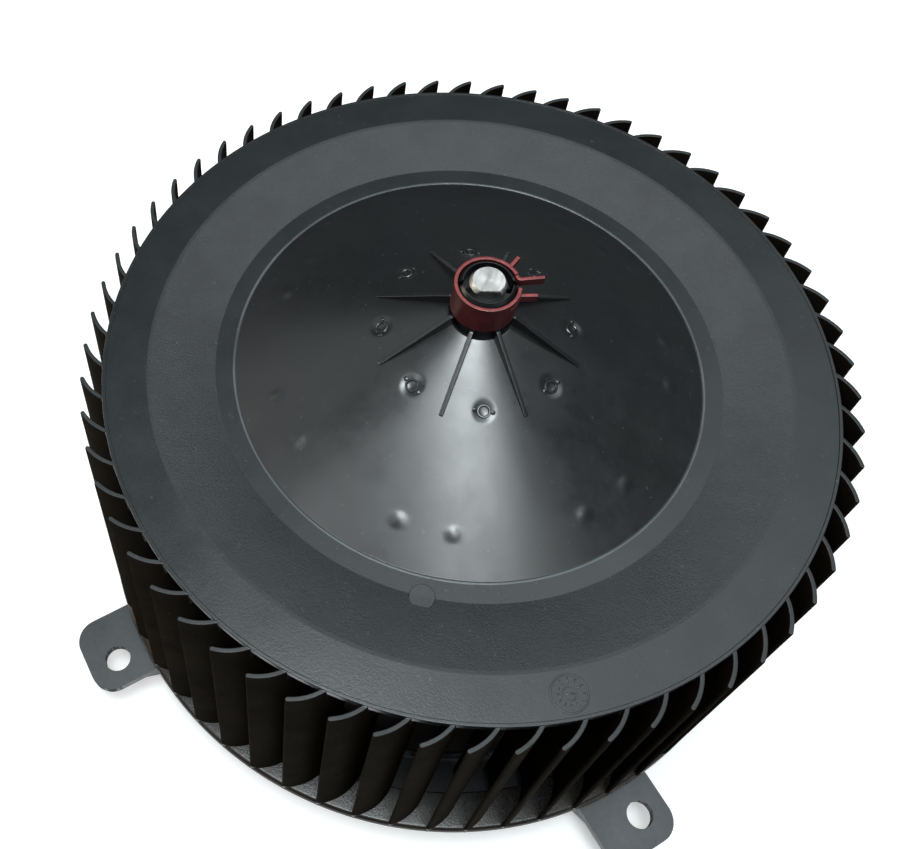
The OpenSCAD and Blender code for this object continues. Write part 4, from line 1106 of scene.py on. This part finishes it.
class BLOWER_OT_hub_clip(bpy.types.Operator):
    """Bends the band clip with its grip tangs round the collet"""

    bl_idname = "blower.hub_clip"
    bl_label = "Hub clip"

    def execute(self, context):
        clip = context.scene.blower_clip
        radius = context.scene.blower_wheel.collet_radius + clip.clearance + clip.thickness / 2
        outer = radius + 0.1 * MM
        start, middle, end = clip.gap_end, clip.middle_turn, clip.gap_start
        bm = bmesh.new()
        band = arc(radius, start + math.radians(8), FULL_TURN + end, 67)
        strip(bm, band, clip.thickness, CLIP_BOX[0].z, CLIP_BOX[1].z, clip.edge)

        run = arc(radius, start + math.radians(40), start + math.radians(9), 7)
        corner = turned(radius, start - math.radians(1))
        self.tang(bm, clip, [*run, corner, Vector(clip.long_tip)], 0.7 * MM)
        run = arc(outer, middle + math.radians(34), middle + math.radians(9), 6)
        corner = turned(outer, middle)
        self.tang(bm, clip, [*run, corner, Vector(clip.middle_tip)], 0.6 * MM)
        run = arc(outer, end - math.radians(44), end - math.radians(14), 6)
        corner = turned(outer, end - math.radians(7))
        self.tang(bm, clip, [*run, corner, Vector(clip.free_tip)], 0.5 * MM, clip.tang_drop)

        obj = new_object("hub_clip_band", bm, [coated_red(context.scene.blower_colours)], sharp=40)
        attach(obj, "rotor")
        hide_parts("hub_clip")
        return {"FINISHED"}

    def tang(self, bm, clip, path, bend, drop=0):
        """A grip tang that leaves the band, bends and ends in a tip."""
        top = CLIP_BOX[1].z - clip.tang_top - drop
        path = rounded(path, [0] * (len(path) - 2) + [bend, 0], 6)
        strip(bm, path, clip.thickness, top - clip.tang_height, top, clip.edge)


class BLOWER_OT_motor_shaft(bpy.types.Operator):
    """Turns the motor shaft with its driving flat"""

    bl_idname = "blower.motor_shaft"
    bl_label = "Motor shaft"

    def execute(self, context):
        shaft = context.scene.blower_shaft
        turn = context.scene.blower_wheel.flat_turn
        low, high = SHAFT_BOX[0].z, SHAFT_BOX[1].z
        radius = (SHAFT_BOX[1].x - SHAFT_BOX[0].x) / 2
        flat = radius - shaft.flat_depth
        chamfer = shaft.chamfer
        flat_low = high - shaft.flat_length
        far = 2 * radius
        levels = [
            (low, radius - chamfer, far),
            (low + chamfer, radius, far),
            (flat_low, radius, far),
            (flat_low, radius, flat),
            (high - 1.6 * chamfer, radius, flat),
            (high - chamfer / 6, radius - 0.85 * chamfer, flat - 0.2 * chamfer),
            (high, radius - chamfer, flat - 0.3 * chamfer),
        ]
        bm = bmesh.new()
        count = 96
        loops = []
        for z, reach, cut in levels:
            loop = []
            for k in range(count):
                a = FULL_TURN * k / count
                along = math.cos(a - turn)
                place = turned(min(reach, cut / along) if along > 0.1 else reach, a)
                loop.append(Vector((place.x, place.y, z)))
            loops.append(loop)
        loft(bm, loops)
        obj = new_object("motor_shaft_turned", bm, [turned_steel(context.scene.blower_colours)], sharp=25)
        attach(obj, "rotor")
        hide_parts("motor_shaft")
        return {"FINISHED"}


# Solids that keep their shape


def dress(material, soft_edge, *nodes):
    """Gives solids a finish and, where wanted, softened edges."""
    for name in nodes:
        obj = frame["nodes"][name]
        obj.data.materials.clear()
        obj.data.materials.append(material)
        if soft_edge:
            weld = obj.modifiers.new("Join corners", "WELD")
            weld.merge_threshold = 0.01 * MM
            edge = obj.modifiers.new("Soft edges", "BEVEL")
            edge.width = soft_edge
            edge.segments = 2
            edge.limit_method = "ANGLE"
            edge.angle_limit = math.radians(40)
            edge.miter_outer = "MITER_ARC"
            normals = obj.modifiers.new("Even shading", "WEIGHTED_NORMAL")
            normals.keep_sharp = True


class BLOWER_OT_housing(bpy.types.Operator):
    """Finishes the mounting frame, the isolators, the end shield and the connector"""

    bl_idname = "blower.housing"
    bl_label = "Housing"

    def execute(self, context):
        colours = context.scene.blower_colours
        dress(moulded_plastic("frame_plastic", colours.frame, 0.37), 0.35 * MM, "mounting_frame")
        shield = moulded_plastic("shield_plastic", colours.shield, 0.38)
        dress(shield, 0.2 * MM, "end_shield", "connector_housing")
        dress(soft_rubber(colours), 0.25 * MM, "upper_isolator", "lower_isolator")
        return {"FINISHED"}


class BLOWER_OT_motor(bpy.types.Operator):
    """Finishes the motor can and what it holds"""

    bl_idname = "blower.motor"
    bl_label = "Motor"

    def execute(self, context):
        colours = context.scene.blower_colours
        can = bright_metal("drawn_zinc", colours.zinc, 0.34, stretch=(1, 1, 0.08), grain=0.0005)
        dress(can, 0.3 * MM, "motor_can")
        screws = bright_metal("plated_screws", colours.zinc, 0.3, grain=0.0003)
        dress(screws, 0.15 * MM, "motor_screws")
        spring = bright_metal("spring_steel", colours.zinc, 0.28, stretch=(1, 1, 0.2), grain=0.0003)
        dress(spring, 0, "magnet_springs", "upper_bearing_retainer", "lower_bearing_retainer")
        dress(spring, 0, "brush_spring_left", "brush_spring_right")
        self.shorten_spring("brush_spring_left", "left_brush_slide", -1)
        self.shorten_spring("brush_spring_right", "right_brush_slide", 1)
        brass = bright_metal("stamped_brass", colours.brass, 0.3, stretch=(0.2, 1, 1), grain=0.0004)
        dress(brass, 0, "brush_tube_left", "brush_tube_right", "terminal_left", "terminal_right")
        bars = bright_metal("drawn_copper", colours.copper, 0.25, stretch=(1, 1, 0.05), grain=0.0003)
        dress(bars, 0, "commutator_bars")
        dress(wound_copper(colours), 0, "armature_winding", "choke_left", "choke_right")
        dress(stacked_steel(colours), 0, "armature_core")
        dress(moulded_plastic("green_insulator", colours.insulator, 0.45), 0, "end_insulators")
        dress(pressed_powder("brown_resin", colours.phenolic, 0.5), 0, "commutator_core", "brush_card")
        dress(pressed_powder("ground_ferrite", colours.ferrite, 0.55), 0, "magnet_left", "magnet_right")
        dress(pressed_powder("pressed_carbon", colours.carbon, 0.5), 0, "brush_left", "brush_right")
        bronze = pressed_powder("sintered_bronze", colours.bronze, 0.42, metallic=1.0)
        dress(bronze, 0, "upper_bearing", "lower_bearing", "thrust_washers")
        dress(pressed_powder("dipped_resin", colours.resin, 0.3), 0, "capacitor")
        return {"FINISHED"}

    def shorten_spring(self, name, joint, side):
        """Gives a brush spring its own copy of its mesh."""
        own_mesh(frame["nodes"][name])


# Stage


class BLOWER_OT_stage(bpy.types.Operator):
    """Lays the pale floor and sets the light and the camera"""

    bl_idname = "blower.stage"
    bl_label = "Stage"

    def execute(self, context):
        scene = context.scene
        studio = scene.blower_studio
        self.floor(scene.blower_colours, studio)
        self.camera(scene, studio)
        for name, place, height, size, power, tint in LAMPS:
            self.lamp(name, Vector(place), Vector((0, 0, height)), size, power, tint)
        world = bpy.data.worlds.new("Studio")
        world.use_nodes = True
        background = world.node_tree.nodes["Background"]
        background.inputs["Color"].default_value = (0.9, 0.95, 1.0, 1)
        background.inputs["Strength"].default_value = studio.sky
        scene.world = world
        scene.view_settings.view_transform = "Standard"
        return {"FINISHED"}

    def floor(self, colours, studio):
        """A wide pale disc on the ground that is clear from below, with a painted shadow under the part."""
        bm = bmesh.new()
        bmesh.ops.create_circle(bm, cap_ends=True, segments=96, radius=studio.floor_radius)
        finish = Finish("floor_paint", colours.floor, 0.8, specular=0.0)
        rays = finish.add("ShaderNodeLightPath").outputs
        mirrored = finish.math("MAXIMUM", rays["Is Glossy Ray"], rays["Is Transmission Ray"])
        seen = finish.math("MAXIMUM", rays["Is Camera Ray"], mirrored)
        # Inside the shade radius the floor loses its glow and shows the dim bounce colour to the camera: a
        # painted shadow under the part.
        shade = studio.shade_radius
        seen = finish.times(seen, finish.spread(finish.radius(), shade - 5 * MM, shade))
        grain = finish.spread(finish.noise(0.003, detail=4), 0.3, 0.7)
        pale = finish.blend(grain, tinted(colours.floor, 0.985), colours.floor)
        finish.colour(finish.blend(seen, colours.floor_bounce_and_shadow, pale))
        finish.shader.inputs["Emission Color"].default_value = (1, 1, 1, 1)
        finish.link(finish.times(seen, studio.floor_glow), finish.shader.inputs["Emission Strength"])
        below = finish.add("ShaderNodeNewGeometry").outputs["Backfacing"]
        sides = finish.add("ShaderNodeMixShader")
        finish.link(below, sides.inputs["Fac"])
        finish.link(finish.shader.outputs["BSDF"], sides.inputs[1])
        finish.link(finish.add("ShaderNodeBsdfTransparent").outputs["BSDF"], sides.inputs[2])
        finish.link(sides.outputs["Shader"], finish.tree.nodes["Material Output"].inputs["Surface"])
        floor = new_object("floor", bm, [finish.material])
        if floor.data.polygons[0].normal.z < 0:
            floor.data.flip_normals()

    def camera(self, scene, studio):
        """The camera that took the photograph."""
        data = bpy.data.cameras.new("Photo camera")
        data.sensor_width = 36
        data.lens = studio.lens
        data.shift_x = studio.shift
        data.clip_start = 0.01
        camera = bpy.data.objects.new("Photo camera", data)
        back = CAMERA_RIGHT.cross(CAMERA_UP)
        turn = Matrix((CAMERA_RIGHT, CAMERA_UP, back)).transposed()
        camera.matrix_world = Matrix.Translation(studio.camera_place) @ turn.to_4x4()
        scene.collection.objects.link(camera)
        scene.camera = camera

    def lamp(self, name, place, target, size, power, tint):
        """A soft box that faces a target."""
        data = bpy.data.lights.new(name, "AREA")
        data.shape = "RECTANGLE"
        data.size, data.size_y = size
        data.energy = power
        data.color = tint
        lamp = bpy.data.objects.new(name, data)
        lamp.location = place
        lamp.rotation_euler = (target - place).to_track_quat("-Z", "Y").to_euler()
        bpy.context.scene.collection.objects.link(lamp)


class BLOWER_PT_panel(bpy.types.Panel):
    """Lists the steps in the sidebar."""

    bl_idname = "BLOWER_PT_panel"
    bl_label = "Blower Motor"
    bl_space_type = "VIEW_3D"
    bl_region_type = "UI"
    bl_category = "Blower"

    def draw(self, context):
        column = self.layout.column()
        for operator in OPERATORS:
            column.operator(operator.bl_idname)


OPERATORS = (
    BLOWER_OT_fan_wheel,
    BLOWER_OT_hub_clip,
    BLOWER_OT_motor_shaft,
    BLOWER_OT_housing,
    BLOWER_OT_motor,
    BLOWER_OT_stage,
)
GROUPS = {
    "blower_wheel": WheelSizes,
    "blower_clip": ClipSizes,
    "blower_shaft": ShaftSizes,
    "blower_colours": Colours,
    "blower_studio": Studio,
}


def register():
    """Adds the properties, the steps and the panel."""
    for group in GROUPS.values():
        bpy.utils.register_class(group)
    for name, group in GROUPS.items():
        setattr(bpy.types.Scene, name, PointerProperty(type=group))
    for operator in OPERATORS:
        bpy.utils.register_class(operator)
    bpy.utils.register_class(BLOWER_PT_panel)


def unregister():
    """Takes them away again."""
    bpy.utils.unregister_class(BLOWER_PT_panel)
    for operator in reversed(OPERATORS):
        bpy.utils.unregister_class(operator)
    for name, group in GROUPS.items():
        delattr(bpy.types.Scene, name)
        bpy.utils.unregister_class(group)


def main():
    """Runs every step in turn."""
    register()
    bpy.ops.blower.fan_wheel()
    bpy.ops.blower.hub_clip()
    bpy.ops.blower.motor_shaft()
    bpy.ops.blower.housing()
    bpy.ops.blower.motor()
    bpy.ops.blower.stage()


if __name__ == "__main__":
    main()
